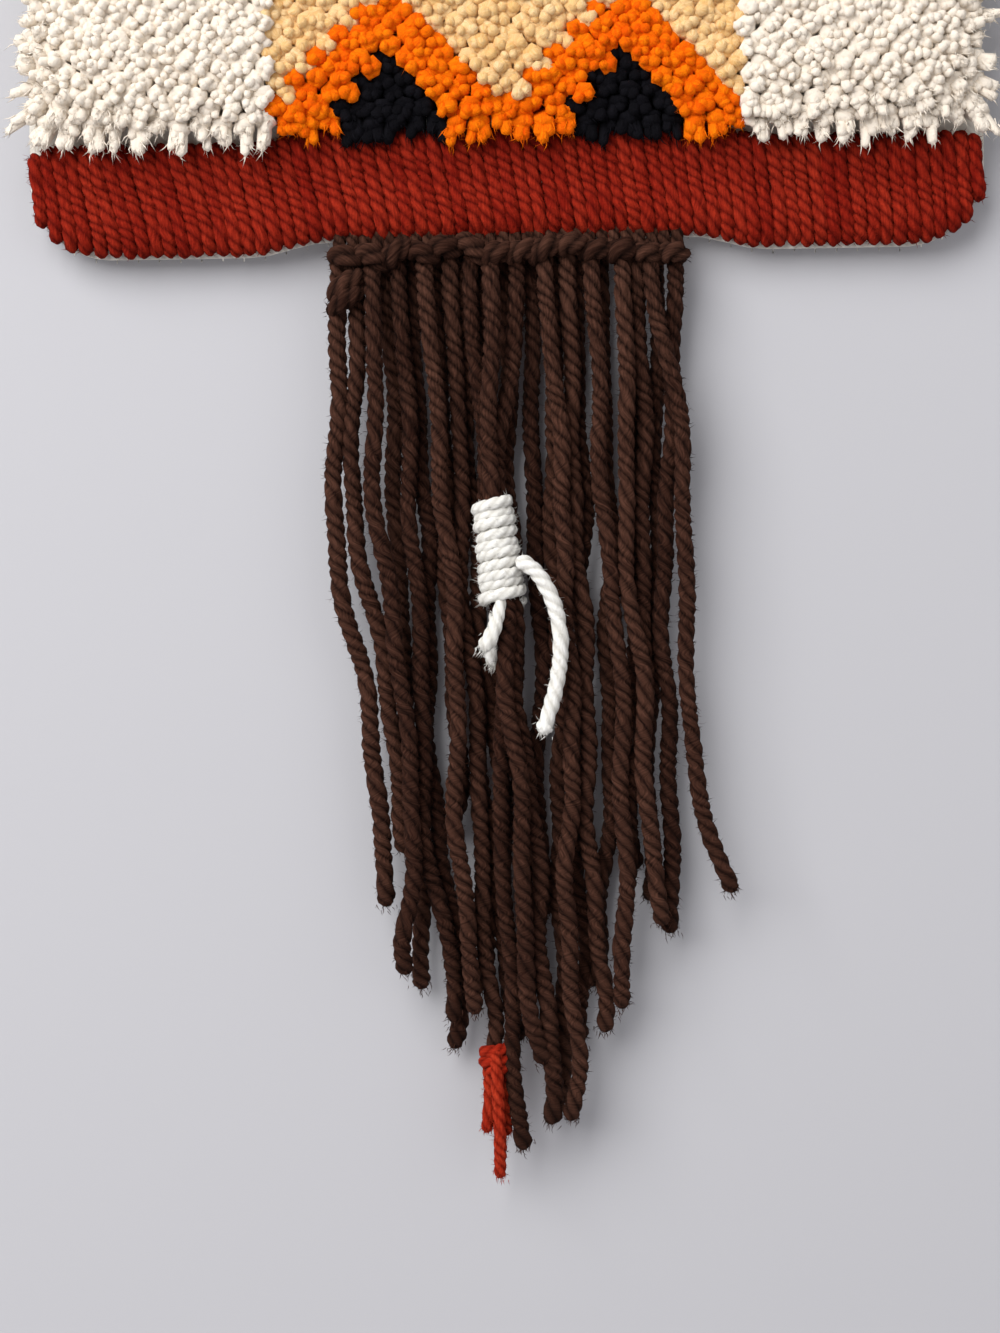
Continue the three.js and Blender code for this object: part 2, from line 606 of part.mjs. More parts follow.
add("fringe", fringe(), YARN.brown);
add("wrap_tie", wrapTie(), YARN.cotton);
add("red_tie", redTie(), YARN.red);

export default hangingPanel;
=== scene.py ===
# %% [markdown]
# # Latch hook wall hanging
# The real object is a stiff rug canvas filled with short knotted wool ends. A band of laid yarn runs
# along its lower edge, a long yarn fringe hangs from the middle of that edge, and two short ties hang in
# the fringe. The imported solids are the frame: they say where everything is. Every soft solid is replaced
# by yarn of its own form, so this lesson is mostly about making a lot of yarn cheaply: a few small shapes
# are modelled by hand, then bent and copied. Lengths are written in millimetres, as a maker would measure
# them, and become metres in one place.

import math

import bpy
import numpy as np
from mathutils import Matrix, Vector


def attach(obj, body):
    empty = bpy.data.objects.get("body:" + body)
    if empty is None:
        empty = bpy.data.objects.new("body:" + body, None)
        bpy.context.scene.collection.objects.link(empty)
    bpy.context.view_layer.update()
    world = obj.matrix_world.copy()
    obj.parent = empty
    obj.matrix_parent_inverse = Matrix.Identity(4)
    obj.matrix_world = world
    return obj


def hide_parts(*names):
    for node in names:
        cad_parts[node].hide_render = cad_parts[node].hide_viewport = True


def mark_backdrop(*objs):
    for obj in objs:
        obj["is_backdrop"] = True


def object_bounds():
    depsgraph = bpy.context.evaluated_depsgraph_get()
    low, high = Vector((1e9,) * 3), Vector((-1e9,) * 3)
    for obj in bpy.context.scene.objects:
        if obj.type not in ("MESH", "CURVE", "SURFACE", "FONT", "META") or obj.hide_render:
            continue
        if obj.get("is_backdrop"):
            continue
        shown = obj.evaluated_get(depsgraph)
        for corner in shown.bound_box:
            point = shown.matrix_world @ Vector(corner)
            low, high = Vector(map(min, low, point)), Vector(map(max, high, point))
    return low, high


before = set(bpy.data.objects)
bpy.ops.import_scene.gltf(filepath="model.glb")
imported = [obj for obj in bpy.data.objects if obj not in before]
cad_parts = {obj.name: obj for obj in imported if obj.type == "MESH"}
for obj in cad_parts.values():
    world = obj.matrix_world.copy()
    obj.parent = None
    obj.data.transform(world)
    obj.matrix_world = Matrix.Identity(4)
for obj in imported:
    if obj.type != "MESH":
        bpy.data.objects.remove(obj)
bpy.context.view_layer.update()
bpy.ops.object.select_all(action="DESELECT")
MM = 0.001
chance = np.random.default_rng(11)

# %% [markdown]
# ## Camera
# The photograph looks straight at the hanging and has only its lower part in view. The mesh of the canvas
# gives the scale, so the camera's height, side and lens follow from where the middle of the lower edge is
# in the picture. A long lens from a little way off keeps the strands parallel, as a phone held at arm's
# length does.

# %% Camera
PHOTO_SIZE = (1000, 1333)
PHOTO_SCALE = 3.16
EDGE_PIXEL = (516, 235)
EDGE_Z = -268.39
CAMERA_DISTANCE = 760
CAMERA_ROLL = 1.0

view_x = (PHOTO_SIZE[0] / 2 - EDGE_PIXEL[0]) / PHOTO_SCALE
view_z = EDGE_Z - (PHOTO_SIZE[1] / 2 - EDGE_PIXEL[1]) / PHOTO_SCALE
bpy.ops.object.camera_add(
    location=Vector((view_x, -CAMERA_DISTANCE - 10, view_z)) * MM,
    rotation=(math.radians(90), math.radians(CAMERA_ROLL), 0),
)
camera = bpy.context.object
camera.data.lens = camera.data.sensor_width * CAMERA_DISTANCE * PHOTO_SCALE / PHOTO_SIZE[1]
bpy.context.scene.camera = camera
print("camera: lens", round(camera.data.lens, 1), "mm, aimed at x", round(view_x, 1), "z", round(view_z, 1))

# %% [markdown]
# ## Colour and nodes
# Colours are easiest to read off as sRGB hex values, but a shader works in linear light, so one function
# turns them. One more function adds any node, sets its properties, and either sets or links each of its
# inputs.

# %% Colour and nodes
def linear(hex_colour):
    """An sRGB hex colour as the linear RGBA that a shader works in."""
    parts = [int(hex_colour[k : k + 2], 16) / 255 for k in (1, 3, 5)]
    return (*[c / 12.92 if c <= 0.04045 else ((c + 0.055) / 1.055) ** 2.4 for c in parts], 1)


def add_node(tree, kind, inputs=None, **settings):
    """Adds a shader node. An input that is given a socket is linked to it, and any other value is set."""
    node = tree.nodes.new("ShaderNode" + kind)
    for name, value in settings.items():
        setattr(node, name, value)
    for name, value in (inputs or {}).items():
        if isinstance(value, bpy.types.NodeSocket):
            tree.links.new(value, node.inputs[name])
        else:
            node.inputs[name].default_value = value
    return node


def new_tree(name):
    """A new material and its empty node tree."""
    material = bpy.data.materials.new(name)
    material.use_nodes = True
    material.node_tree.nodes.clear()
    return material, material.node_tree


print("white in linear light:", [round(c, 2) for c in linear("#f1e3d1")])

# %% [markdown]
# ## Studio
# The photograph was taken against a pale grey sheet in soft light from the upper left. A pale backdrop
# stands just behind the hanging and takes its soft shadow, and a pale floor lies below. The backdrop is
# painted on its front alone and clear from behind, so that the back of the canvas can be looked at too.
# Only the camera sees the backdrop: it gives no bounce light and casts no shadow, and the sky's even light
# reaches every side of the hanging.

# %% Studio
BACKDROP_Y = 5
FLOOR_Z = -800
STAGE_SIZE = 8000

backdrop_paper, tree = new_tree("backdrop paper, matt pale grey")
front = add_node(tree, "BsdfPrincipled", {"Base Color": linear("#b0afb2"), "Roughness": 0.95})
clear = add_node(tree, "BsdfTransparent")
seen_from_behind = add_node(tree, "NewGeometry").outputs["Backfacing"]
paper = add_node(tree, "MixShader", {0: seen_from_behind, 1: front.outputs[0], 2: clear.outputs[0]})
add_node(tree, "OutputMaterial", {"Surface": paper.outputs[0]})

floor_paint, tree = new_tree("floor paint, matt pale grey")
paint = add_node(tree, "BsdfPrincipled", {"Base Color": linear("#b0afb2"), "Roughness": 0.9})
add_node(tree, "OutputMaterial", {"Surface": paint.outputs[0]})

bpy.ops.mesh.primitive_plane_add(
    size=STAGE_SIZE * MM,
    location=(0, BACKDROP_Y * MM, (FLOOR_Z + STAGE_SIZE / 2) * MM),
    rotation=(math.radians(90), 0, 0),
)
backdrop = bpy.context.object
backdrop.name = "backdrop"
backdrop.data.materials.append(backdrop_paper)
for ray in ("diffuse", "glossy", "transmission", "volume_scatter", "shadow"):
    setattr(backdrop, "visible_" + ray, False)
bpy.ops.mesh.primitive_plane_add(size=STAGE_SIZE * MM, location=(0, 0, FLOOR_Z * MM))
floor = bpy.context.object
floor.name = "floor"
floor.data.materials.append(floor_paint)
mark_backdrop(backdrop, floor)
print("stage: backdrop at y", BACKDROP_Y, "mm, floor at z", FLOOR_Z, "mm")

# %% [markdown]
# ## Light
# A tall window stands to the upper left, and the rest of the room sends back a little light from the right.
# Wide square lamps do the same here: the wider the lamp, the softer the edge of a shadow. The even sky
# fills what is left.

# %% Light
SKY_STRENGTH = 0.5
LIT_POINT = (0, 0, -300)
LIGHTS = {  # name: (x, y, z), side of the square in mm, watts
    "window": ((-1000, -1400, 600), 1700, 58),
    "room": ((1500, -1500, -100), 1600, 6),
}

scene = bpy.context.scene
scene.view_settings.view_transform = "Standard"
scene.world = bpy.data.worlds.new("even sky")
scene.world.use_nodes = True
sky = scene.world.node_tree.nodes["Background"]
sky.inputs["Color"].default_value = linear("#f4f5fa")
sky.inputs["Strength"].default_value = SKY_STRENGTH
for name, (place, side, watts) in LIGHTS.items():
    towards = (Vector(LIT_POINT) - Vector(place)).to_track_quat("-Z", "Y")
    bpy.ops.object.light_add(type="AREA", location=Vector(place) * MM, rotation=towards.to_euler())
    lamp = bpy.context.object
    lamp.name = name
    lamp.data.size = side * MM
    lamp.data.energy = watts
print("light:", ", ".join(LIGHTS), "and an even sky")

# %% [markdown]
# ## Wool and cotton
# Rug wool is a soft three-ply yarn. To the eye it is matt, with a pale sheen where its loose fibres catch
# light at the edges, darker where shade falls in the grooves between the plies and at the roots of the pile,
# and a little uneven in colour from one end to the next. The finish paints that shade into the colour, as a
# darker colour of each yarn. Its fibres run along the yarn and show as fine streaks. Where a cut end has
# opened, they stand every way instead, so the pile has fewer streaks, a fluffy bump of about a millimetre,
# and more sheen. Each piece carries what the finish needs: a crown mark, 0 at the bottom of a groove and 1 on
# the outside, which places the painted shade, a tone mark, one chance number for each yarn end, and a map in
# millimetres round and along the yarn for the streaks. Real fibres are about 0.03 mm thick, too fine to
# show here, so a streak is drawn 0.9 mm wide, thirty times as coarse.

# %% Wool and cotton
STREAK_WIDTH, STREAK_LENGTH = 0.9, 6
BLOTCH, FLUFF = 14, 1


def yarn_finish(name, painted_shade, body, light, sheen, streaky=0.8, nap=0.6):
    """Dyed yarn, lighter on chance fibres, with a darker colour painted as shade in grooves and at roots."""
    material, tree = new_tree(name)
    crown = add_node(tree, "Attribute", attribute_name="crown").outputs["Fac"]
    tone = add_node(tree, "Attribute", attribute_name="tone").outputs["Fac"]
    along = add_node(tree, "UVMap", uv_map="yarn").outputs["UV"]
    place = add_node(tree, "TexCoord").outputs["Object"]
    streak_size = (1 / STREAK_WIDTH, 1 / STREAK_LENGTH, 1)
    drawn_out = add_node(tree, "Mapping", {"Vector": along, "Scale": streak_size}).outputs[0]
    streak = add_node(
        tree, "TexNoise", {"Vector": drawn_out, "Scale": 1.0, "Detail": 4.0, "Roughness": 0.7}
    ).outputs["Fac"]
    blotch = add_node(
        tree, "TexNoise", {"Vector": place, "Scale": 1 / (BLOTCH * MM), "Detail": 2.0}
    ).outputs["Fac"]
    fluff = add_node(
        tree, "TexNoise", {"Vector": place, "Scale": 1 / (FLUFF * MM), "Detail": 5.0, "Roughness": 0.72}
    ).outputs["Fac"]
    uneven = add_node(tree, "Math", {0: tone, 1: 0.7, 2: blotch}, operation="MULTIPLY_ADD").outputs[0]
    fibrous = add_node(tree, "Math", {0: streak, 1: 2.6, 2: uneven}, operation="MULTIPLY_ADD").outputs[0]
    bright = add_node(tree, "MapRange", {"Value": fibrous, "From Min": 1.6, "From Max": 2.8}).outputs[0]
    dyed = add_node(
        tree, "MixRGB", {"Fac": bright, "Color1": linear(body), "Color2": linear(light)}
    ).outputs[0]
    # Painted shade: where the crown mark is low, in the grooves and at the roots, the colour goes over to the
    # darker one.
    shade = add_node(tree, "Math", {0: streak, 1: 2.0, 2: crown}, operation="MULTIPLY_ADD").outputs[0]
    painted_shade_mix = add_node(tree, "MapRange", {"Value": shade, "From Min": 0.8, "From Max": 2.15}).outputs[0]
    shaded = add_node(tree, "MixRGB", {"Fac": painted_shade_mix, "Color1": linear(painted_shade), "Color2": dyed}).outputs[0]
    rough_nap = add_node(tree, "Math", {0: streak, 1: streaky, 2: fluff}, operation="MULTIPLY_ADD").outputs[0]
    bump = add_node(tree, "Bump", {"Height": rough_nap, "Strength": 1.0, "Distance": nap * MM}).outputs[0]
    surface = add_node(
        tree, "BsdfPrincipled",
        {"Base Color": shaded, "Roughness": 0.95, "Specular IOR Level": 0.08, "Normal": bump,
         "Sheen Weight": sheen, "Sheen Roughness": 0.5, "Sheen Tint": linear(light)},
    )
    add_node(tree, "OutputMaterial", {"Surface": surface.outputs[0]})
    return material


COLOURED_ENDS = {"sheen": 0.8, "streaky": 0.3, "nap": 0.7}
# The first of each finish's three colours is painted shade, for the grooves and the roots of the pile.
WHITE = yarn_finish("rug wool, undyed white", "#f2e6d5", "#ecdfce", "#f2e7d8", sheen=1.0, streaky=0.2)
ORANGE = yarn_finish("rug wool, dyed orange", "#cf4201", "#ea5601", "#fa8406", **COLOURED_ENDS)
CREAM = yarn_finish("rug wool, dyed cream", "#d2964a", "#e7b773", "#f5d6a5", **COLOURED_ENDS)
BLACK = yarn_finish("rug wool, dyed black", "#040305", "#09080c", "#111015", sheen=0.06)
RUST = yarn_finish("rug wool, dyed rust", "#4c0602", "#7c1407", "#9f2b17", sheen=0.08)
BROWN = yarn_finish("rug wool, dyed dark brown", "#0c0301", "#2e1810", "#54362a", sheen=0.06)
COTTON = yarn_finish("cotton cord, bleached", "#d0ccc2", "#eae7df", "#f8f6f1", sheen=0.2)
RED = yarn_finish("rug wool, dyed red", "#620d02", "#951f0d", "#b33920", sheen=0.08)
print("finishes:", len([m for m in bpy.data.materials if m.users == 0]), "yarns ready")

# %% [markdown]
# ## Joining yarn into a piece
# A pile has thousands of ends, so they can't all be objects. Each kind of yarn gives its points, faces, map
# and marks as arrays, and one function joins the arrays into a mesh, smooths it, and hides the solids that
# it stands for. The object stays at the origin, and its place is in its mesh, as for the solids.
# What would reach into the wall lies flat against it, as real fibres do, and the short nap is given the
# normals of the yarn that it lies on.

# %% Joining yarn into a piece
WALL_Y = -0.05


def joined(parts):
    """One yarn part from several: points, four-sided and three-sided faces, their maps, and the two marks."""
    shift = np.cumsum([0] + [len(p["points"]) for p in parts])
    return {
        "points": np.concatenate([p["points"] for p in parts]),
        "quads": np.concatenate([p["quads"] + s for p, s in zip(parts, shift)]),
        "tris": np.concatenate([p["tris"] + s for p, s in zip(parts, shift)]),
        **{key: np.concatenate([p[key] for p in parts]) for key in ("quad_map", "tri_map", "crown", "tone")},
        "facing": np.concatenate([p.get("facing", np.zeros((len(p["points"]), 3))) for p in parts]),
    }


def make_piece(name, parts, material, slot, *nodes):
    """A finished piece of yarn: a smooth mesh that rides on the root and stands for its solids."""
    whole = joined(parts)
    whole["points"][:, 1] = np.minimum(whole["points"][:, 1], WALL_Y)
    mesh = bpy.data.meshes.new(name)
    mesh.from_pydata((whole["points"] * MM).tolist(), [], whole["quads"].tolist() + whole["tris"].tolist())
    yarn_map = mesh.uv_layers.new(name="yarn")
    yarn_map.data.foreach_set("uv", np.concatenate([whole["quad_map"].ravel(), whole["tri_map"].ravel()]))
    for mark in ("crown", "tone"):
        mesh.attributes.new(mark, "FLOAT", "POINT").data.foreach_set("value", whole[mark].astype(np.float32))
    mesh.shade_smooth()
    facing = np.empty(len(whole["points"]) * 3)
    mesh.vertex_normals.foreach_get("vector", facing)
    facing = np.where(np.any(whole["facing"], axis=1, keepdims=True), whole["facing"], facing.reshape(-1, 3))
    mesh.normals_split_custom_set_from_vertices(facing.tolist())
    mesh.materials.append(material)
    piece = bpy.data.objects.new(name, mesh)
    bpy.context.collection.objects.link(piece)
    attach(piece, "root")
    if nodes:
        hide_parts(*nodes)
    print(f"{name}: {2 * len(whole['quads']) + len(whole['tris'])} triangles")
    return piece


# %% [markdown]
# ## Twisted yarn along a path
# Three plies twisted together look like one tube with three rounded lobes that wind round it. Modelling the
# lobes as one twisted tube keeps every face on the outside, where three separate tubes would hide half of
# theirs inside. The rings turn as they go, so that the edges of the mesh follow the plies. One turn takes
# about 13.5 mm, measured from the slanting marks on the strands, and it winds the way the marks do, down to
# the right.

# %% Twisted yarn along a path
LEAD, PLIES = 13.5, 3


def unit(vectors):
    """Vectors of length 1 along the last axis."""
    return vectors / np.maximum(np.linalg.norm(vectors, axis=-1, keepdims=True), 1e-9)


def even_path(points, spacing):
    """A smooth path through the points, cut into even steps."""
    points = np.asarray(points, float)
    reach = np.concatenate([[0], np.cumsum(np.linalg.norm(np.diff(points, axis=0), axis=1))])
    slope = np.gradient(points, reach, axis=0)
    fine = np.linspace(0, reach[-1], 40 * len(points))
    k = np.clip(np.searchsorted(reach, fine, "right") - 1, 0, len(reach) - 2)
    gap = (reach[k + 1] - reach[k])[:, None]
    t = (fine - reach[k])[:, None] / gap
    path = (
        (2 * t**3 - 3 * t**2 + 1) * points[k] + (t**3 - 2 * t**2 + t) * gap * slope[k]
        + (3 * t**2 - 2 * t**3) * points[k + 1] + (t**3 - t**2) * gap * slope[k + 1]
    )
    length = np.concatenate([[0], np.cumsum(np.linalg.norm(np.diff(path, axis=0), axis=1))])
    even = np.linspace(0, length[-1], max(4, round(length[-1] / spacing)) + 1)
    return np.stack([np.interp(even, length, path[:, a]) for a in range(3)], axis=1)


def carried_frame(path):
    """The direction along a path and two directions across it, carried along without twisting."""
    along = unit(np.gradient(path, axis=0))
    across = np.empty_like(along)
    start = np.array([1.0, 0, 0]) if abs(along[0, 0]) < 0.8 else np.array([0, 1.0, 0])
    for k in range(len(path)):
        start = start - start.dot(along[k]) * along[k]
        start = start / np.linalg.norm(start)
        across[k] = start
    return along, across, np.cross(along, across)


def twisted_yarn(path, radius, sides=12, groove=0.23, lead=LEAD):
    """One plied yarn with rounded ends. radius is one number, or one for each point of the path."""
    along, across, upward = carried_frame(path)
    length = np.concatenate([[0], np.cumsum(np.linalg.norm(np.diff(path, axis=0), axis=1))])
    ripple = [np.sin(2 * np.pi * length / wave + chance.uniform(0, 7)) for wave in (9.7, 15.3, 31)]
    radius = radius * (1 + 0.02 * ripple[0] + 0.02 * ripple[1])
    from_end = np.minimum(length, length[-1] - length)
    rounded = np.sqrt(np.clip(1 - (1 - np.clip(from_end / radius, 0.06, 1)) ** 2, 0, 1))
    round_about = 2 * np.pi * np.arange(sides + 1) / sides
    turn = chance.uniform(0, 2 * np.pi) - 2 * np.pi * length / lead + 0.3 * ripple[1] + 0.5 * ripple[2]
    lobe = (round_about * PLIES / (2 * np.pi)) % 1
    ply_crown = np.cos((lobe - 0.5) * np.pi)
    lobed = (1 - groove) + groove * ply_crown
    angle = round_about[None, :] + turn[:, None]
    spread = (radius * rounded)[:, None] * lobed[None, :]
    outward = np.cos(angle)[..., None] * across[:, None] + np.sin(angle)[..., None] * upward[:, None]
    ring = path[:, None] + spread[..., None] * outward
    rings, c = len(path), np.arange(sides)
    n = (c + 1) % sides
    base = (np.arange(rings - 1) * sides)[:, None]
    poles = [path[0] - along[0] * 0.1, path[-1] + along[-1] * 0.1]
    last = (rings - 1) * sides
    full = np.full(sides, rings * sides)
    around = angle * radius[:, None] + chance.uniform(0, 500)
    flat = np.stack([around, np.broadcast_to(length[:, None], around.shape)], axis=2)
    corners = [flat[:-1, :-1], flat[:-1, 1:], flat[1:, 1:], flat[1:, :-1]]
    start_caps = np.stack([flat[0, 1:], flat[0, :-1], flat[0, :-1]], 1)
    end_caps = np.stack([flat[-1, :-1], flat[-1, 1:], flat[-1, 1:]], 1)
    return {
        "points": np.concatenate([ring[:, :sides].reshape(-1, 3), poles]),
        "quads": np.stack([base + c, base + n, base + n + sides, base + c + sides], axis=2).reshape(-1, 4),
        "tris": np.concatenate([np.stack([n, c, full], 1), np.stack([last + c, last + n, full + 1], 1)]),
        "quad_map": np.stack(corners, axis=2).reshape(-1, 4, 2),
        "tri_map": np.concatenate([start_caps, end_caps]),
        # The crown mark, where a finish reads it, paints shade into the grooves between the plies and a
        # little on the rounded ends.
        "crown": np.concatenate([np.tile(ply_crown[:sides], rings), [0.6, 0.6]]),
        "tone": np.full(rings * sides + 2, chance.uniform()),
    }


trial = twisted_yarn(even_path([(0, 0, 0), (0, 0, -100)], 1.3), 2.95)
print("100 mm of yarn:", 2 * len(trial["quads"]) + len(trial["tris"]), "triangles")

# %% [markdown]
# ## Loose fibres
# Wool always has fine fibres that stand out of it, and they are what makes its edge look soft. Each one
# is a thin spike with three sides, bent where it stands free and straight in the short nap. All the
# fibres of a piece are made in one step from arrays of starts and directions. A single fibre is drawn
# about 0.12 mm thick, four times the real thickness, so that it shows at the size of the render. The nap,
# the frayed tips and the locks at the rim are thicker still, because each spike there stands for some
# fibres that cling together.

# %% Loose fibres
FIBRE = 0.06


def spike_rim(directions):
    """The three corners of each spike, round its direction."""
    across = unit(np.cross(directions, unit(chance.normal(size=directions.shape))))
    upward = np.cross(directions, across)
    corner = (2 * np.pi * np.arange(3) / 3)[None, :, None]
    return np.cos(corner) * across[:, None] + np.sin(corner) * upward[:, None]


def loose_fibres(starts, directions, lengths, thickness=FIBRE):
    """Bent spikes from starts along directions, curling by chance."""
    count = len(starts)
    directions = unit(directions)
    curl = unit(chance.normal(size=(count, 3))) * 0.55
    middle = starts + directions * lengths[:, None] * 0.5
    tip = middle + unit(directions + curl) * lengths[:, None] * 0.5
    rim = spike_rim(directions)
    points = np.concatenate(
        [starts[:, None] + rim * thickness, middle[:, None] + rim * thickness * 0.8, tip[:, None]], axis=1
    )
    base = (np.arange(count) * 7)[:, None, None]
    quads = np.array([[c, (c + 1) % 3, (c + 1) % 3 + 3, c + 3] for c in range(3)])
    tris = np.array([[c + 3, (c + 1) % 3 + 3, 6] for c in range(3)] + [[2, 1, 0]])
    quads, tris = (base + quads).reshape(-1, 4), (base + tris).reshape(-1, 3)
    return {
        "points": points.reshape(-1, 3),
        "quads": quads,
        "tris": tris,
        "quad_map": np.zeros((len(quads), 4, 2)),
        "tri_map": np.zeros((len(tris), 3, 2)),
        "crown": np.ones(count * 7),
        "tone": np.repeat(chance.uniform(size=count), 7),
    }


def short_fibres(starts, directions, lengths, thickness, facing):
    """Straight spikes, for the short nap on wool. They take light as the yarn under them does."""
    count = len(starts)
    directions = unit(directions)
    rim = spike_rim(directions)
    tips = starts + directions * lengths[:, None]
    points = np.concatenate([starts[:, None] + rim * thickness, tips[:, None]], axis=1)
    tris = np.array([[c, (c + 1) % 3, 3] for c in range(3)])
    tris = ((np.arange(count) * 4)[:, None, None] + tris).reshape(-1, 3)
    return {
        "points": points.reshape(-1, 3),
        "quads": np.zeros((0, 4), int),
        "tris": tris,
        "quad_map": np.zeros((0, 4, 2)),
        "tri_map": np.zeros((len(tris), 3, 2)),
        # The crown mark gives each spike's base a little painted shade.
        "crown": np.tile([0.75, 0.75, 0.75, 1.0], count),
        "tone": np.repeat(chance.uniform(size=count), 4),
        "facing": np.repeat(unit(facing), 4, axis=0),
    }


def yarn_fuzz(path, radius, bent=0.3, nap=2.5, reach=(1.5, 4.0)):
    """Bent fibres and short nap all along a yarn, so many to a millimetre."""
    along, across, upward = carried_frame(path)
    length = np.linalg.norm(np.diff(path, axis=0), axis=1).sum()

    def outside(count):
        k = chance.integers(1, len(path) - 1, count)
        angle = chance.uniform(0, 2 * np.pi, count)[:, None]
        outward = np.cos(angle) * across[k] + np.sin(angle) * upward[k]
        lean = along[k] * chance.normal(0, 1.1, (count, 1)) + chance.normal(0, 0.35, (count, 3))
        return path[k] + outward * radius * 0.78, outward, lean

    starts, outward, lean = outside(max(4, int(bent * length)))
    long_ones = loose_fibres(starts, outward + lean, chance.uniform(*reach, len(starts)))
    starts, outward, lean = outside(max(4, int(nap * length)))
    lengths = chance.uniform(1.1, 2.3, len(starts))
    short_ones = short_fibres(starts, outward + lean * 0.6, lengths, 0.15, outward)
    return joined([long_ones, short_ones])


print("a fibre:", len(loose_fibres(np.zeros((1, 3)), np.ones((1, 3)), np.ones(1))["points"]), "points")

# %% [markdown]
# ## Rug canvas
# The canvas is a stiff white mesh with 3.75 holes to the inch, so its threads are 6.77 mm apart. It is
# hidden by the pile in front, shows as a thin white line under the band with the cut threads standing out
# of it, and shows all over from behind. A flat grid is drawn down to the drooping lower edge with its two
# rounded corners, and Solidify gives it its thickness. The raised threads are laid on its back as thin
# bars, each one going over and under the next.

# %% Rug canvas
MESH = 25.4 / 3.75
CANVAS_WIDTH = 305
CORNER = 26
END_DROOP = 4.5
DROOP_FROM, DROOP_TO = 58, 82
SHEET_FRONT, SHEET_BACK = -2.0, -1.5


def straight_edge(x):
    """Height of the lower edge, which droops towards both ends, before its corners are rounded."""
    t = np.clip((np.abs(x) - DROOP_FROM) / (DROOP_TO - DROOP_FROM), 0, 1)
    return EDGE_Z - END_DROOP * t * t * (3 - 2 * t)


def corner_rise(x, half_width, radius):
    """How much a rounded corner lifts the edge at x."""
    inside = np.clip(np.abs(x) - (half_width - radius), 0, radius)
    return radius - np.sqrt(radius**2 - inside**2)


def lower_edge(x):
    """Height of the canvas's lower edge."""
    return straight_edge(x) + corner_rise(x, CANVAS_WIDTH / 2, CORNER)


bpy.ops.mesh.primitive_grid_add(x_subdivisions=60, y_subdivisions=40, size=2)
rug_canvas = bpy.context.object
rug_canvas.name = "rug_canvas"
flat = np.empty(len(rug_canvas.data.vertices) * 3)
rug_canvas.data.vertices.foreach_get("co", flat)
flat = flat.reshape(-1, 3)
canvas_x = np.sin(flat[:, 0] * np.pi / 2) * CANVAS_WIDTH / 2
canvas_z = lower_edge(canvas_x) * (1 - flat[:, 1]) / 2
hung = np.stack([canvas_x, np.full(len(flat), SHEET_FRONT), canvas_z], axis=1) * MM
rug_canvas.data.vertices.foreach_set("co", hung.ravel())
bpy.ops.object.mode_set(mode="EDIT")
bpy.ops.mesh.select_all(action="SELECT")
bpy.ops.mesh.normals_make_consistent(inside=False)
bpy.ops.object.mode_set(mode="OBJECT")
thicken = rug_canvas.modifiers.new("thickness", "SOLIDIFY")
thicken.thickness = (SHEET_BACK - SHEET_FRONT) * MM
front_faces = rug_canvas.data.polygons[0].normal.y < 0
thicken.offset = -1 if front_faces else 1
bpy.ops.object.modifier_apply(modifier="thickness")
front_and_back = [rug_canvas.data.vertices[k].co.y / MM for k in (0, -1)]
print("canvas sheet y in mm:", [round(y, 2) for y in front_and_back])

# %% [markdown]
# ## Canvas finish and threads
# Rug canvas is cotton that is stiffened with size, so it is matt and a little uneven in its white. Its own
# fine weave is drawn 1.2 mm wide, about three times as coarse as real. The raised threads go up and down
# and side to side on the back, and the upright ones end in short cut stubs below the edge, as they do where
# a piece of canvas is cut.

# %% Canvas finish
canvas_cloth, tree = new_tree("rug canvas, sized cotton")
place = add_node(tree, "TexCoord").outputs["Object"]
fine_weave = add_node(
    tree, "TexWave", {"Vector": place, "Scale": 0.314 / (1.2 * MM), "Distortion": 1.5, "Detail": 2.0},
    wave_type="BANDS", bands_direction="DIAGONAL",
)
soiling = add_node(tree, "TexNoise", {"Vector": place, "Scale": 1 / (9 * MM), "Detail": 3.0})
sized = add_node(
    tree, "MixRGB",
    {"Fac": soiling.outputs["Fac"], "Color1": linear("#d3cdbf"), "Color2": linear("#f3efe6")},
)
bump = add_node(tree, "Bump", {"Height": fine_weave.outputs["Fac"], "Strength": 0.4, "Distance": 0.3 * MM})
surface = add_node(
    tree, "BsdfPrincipled",
    {"Base Color": sized.outputs[0], "Roughness": 0.85, "Specular IOR Level": 0.25,
     "Normal": bump.outputs[0]},
)
add_node(tree, "OutputMaterial", {"Surface": surface.outputs[0]})
rug_canvas.data.materials.append(canvas_cloth)
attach(rug_canvas, "root")
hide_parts("canvas")
print("canvas finish:", canvas_cloth.name)

# %% Canvas threads
THREAD = 0.55
THREAD_Y = -1.05
CUT_END = 1.3
UPRIGHTS = 46
columns_x = (np.arange(UPRIGHTS) - (UPRIGHTS - 1) / 2) * MESH
columns_x = columns_x[np.abs(columns_x) < CANVAS_WIDTH / 2 - 0.5]
rows = np.arange(1, int(-EDGE_Z / MESH) + 1) * MESH / -EDGE_Z
threads = []
for k, x in enumerate(columns_x):
    z = np.concatenate([[-0.6], straight_edge(x) * rows, [lower_edge(x) - CUT_END * chance.uniform(0.5, 1)]])
    z = np.unique(z[z >= lower_edge(x) - CUT_END])[::-1]
    y = THREAD_Y + 0.25 * (-1.0) ** (np.arange(len(z)) + k)
    path = np.stack([np.full(len(z), x), y, z], axis=1)
    threads.append(twisted_yarn(path, THREAD * 1.2, sides=4, groove=0))
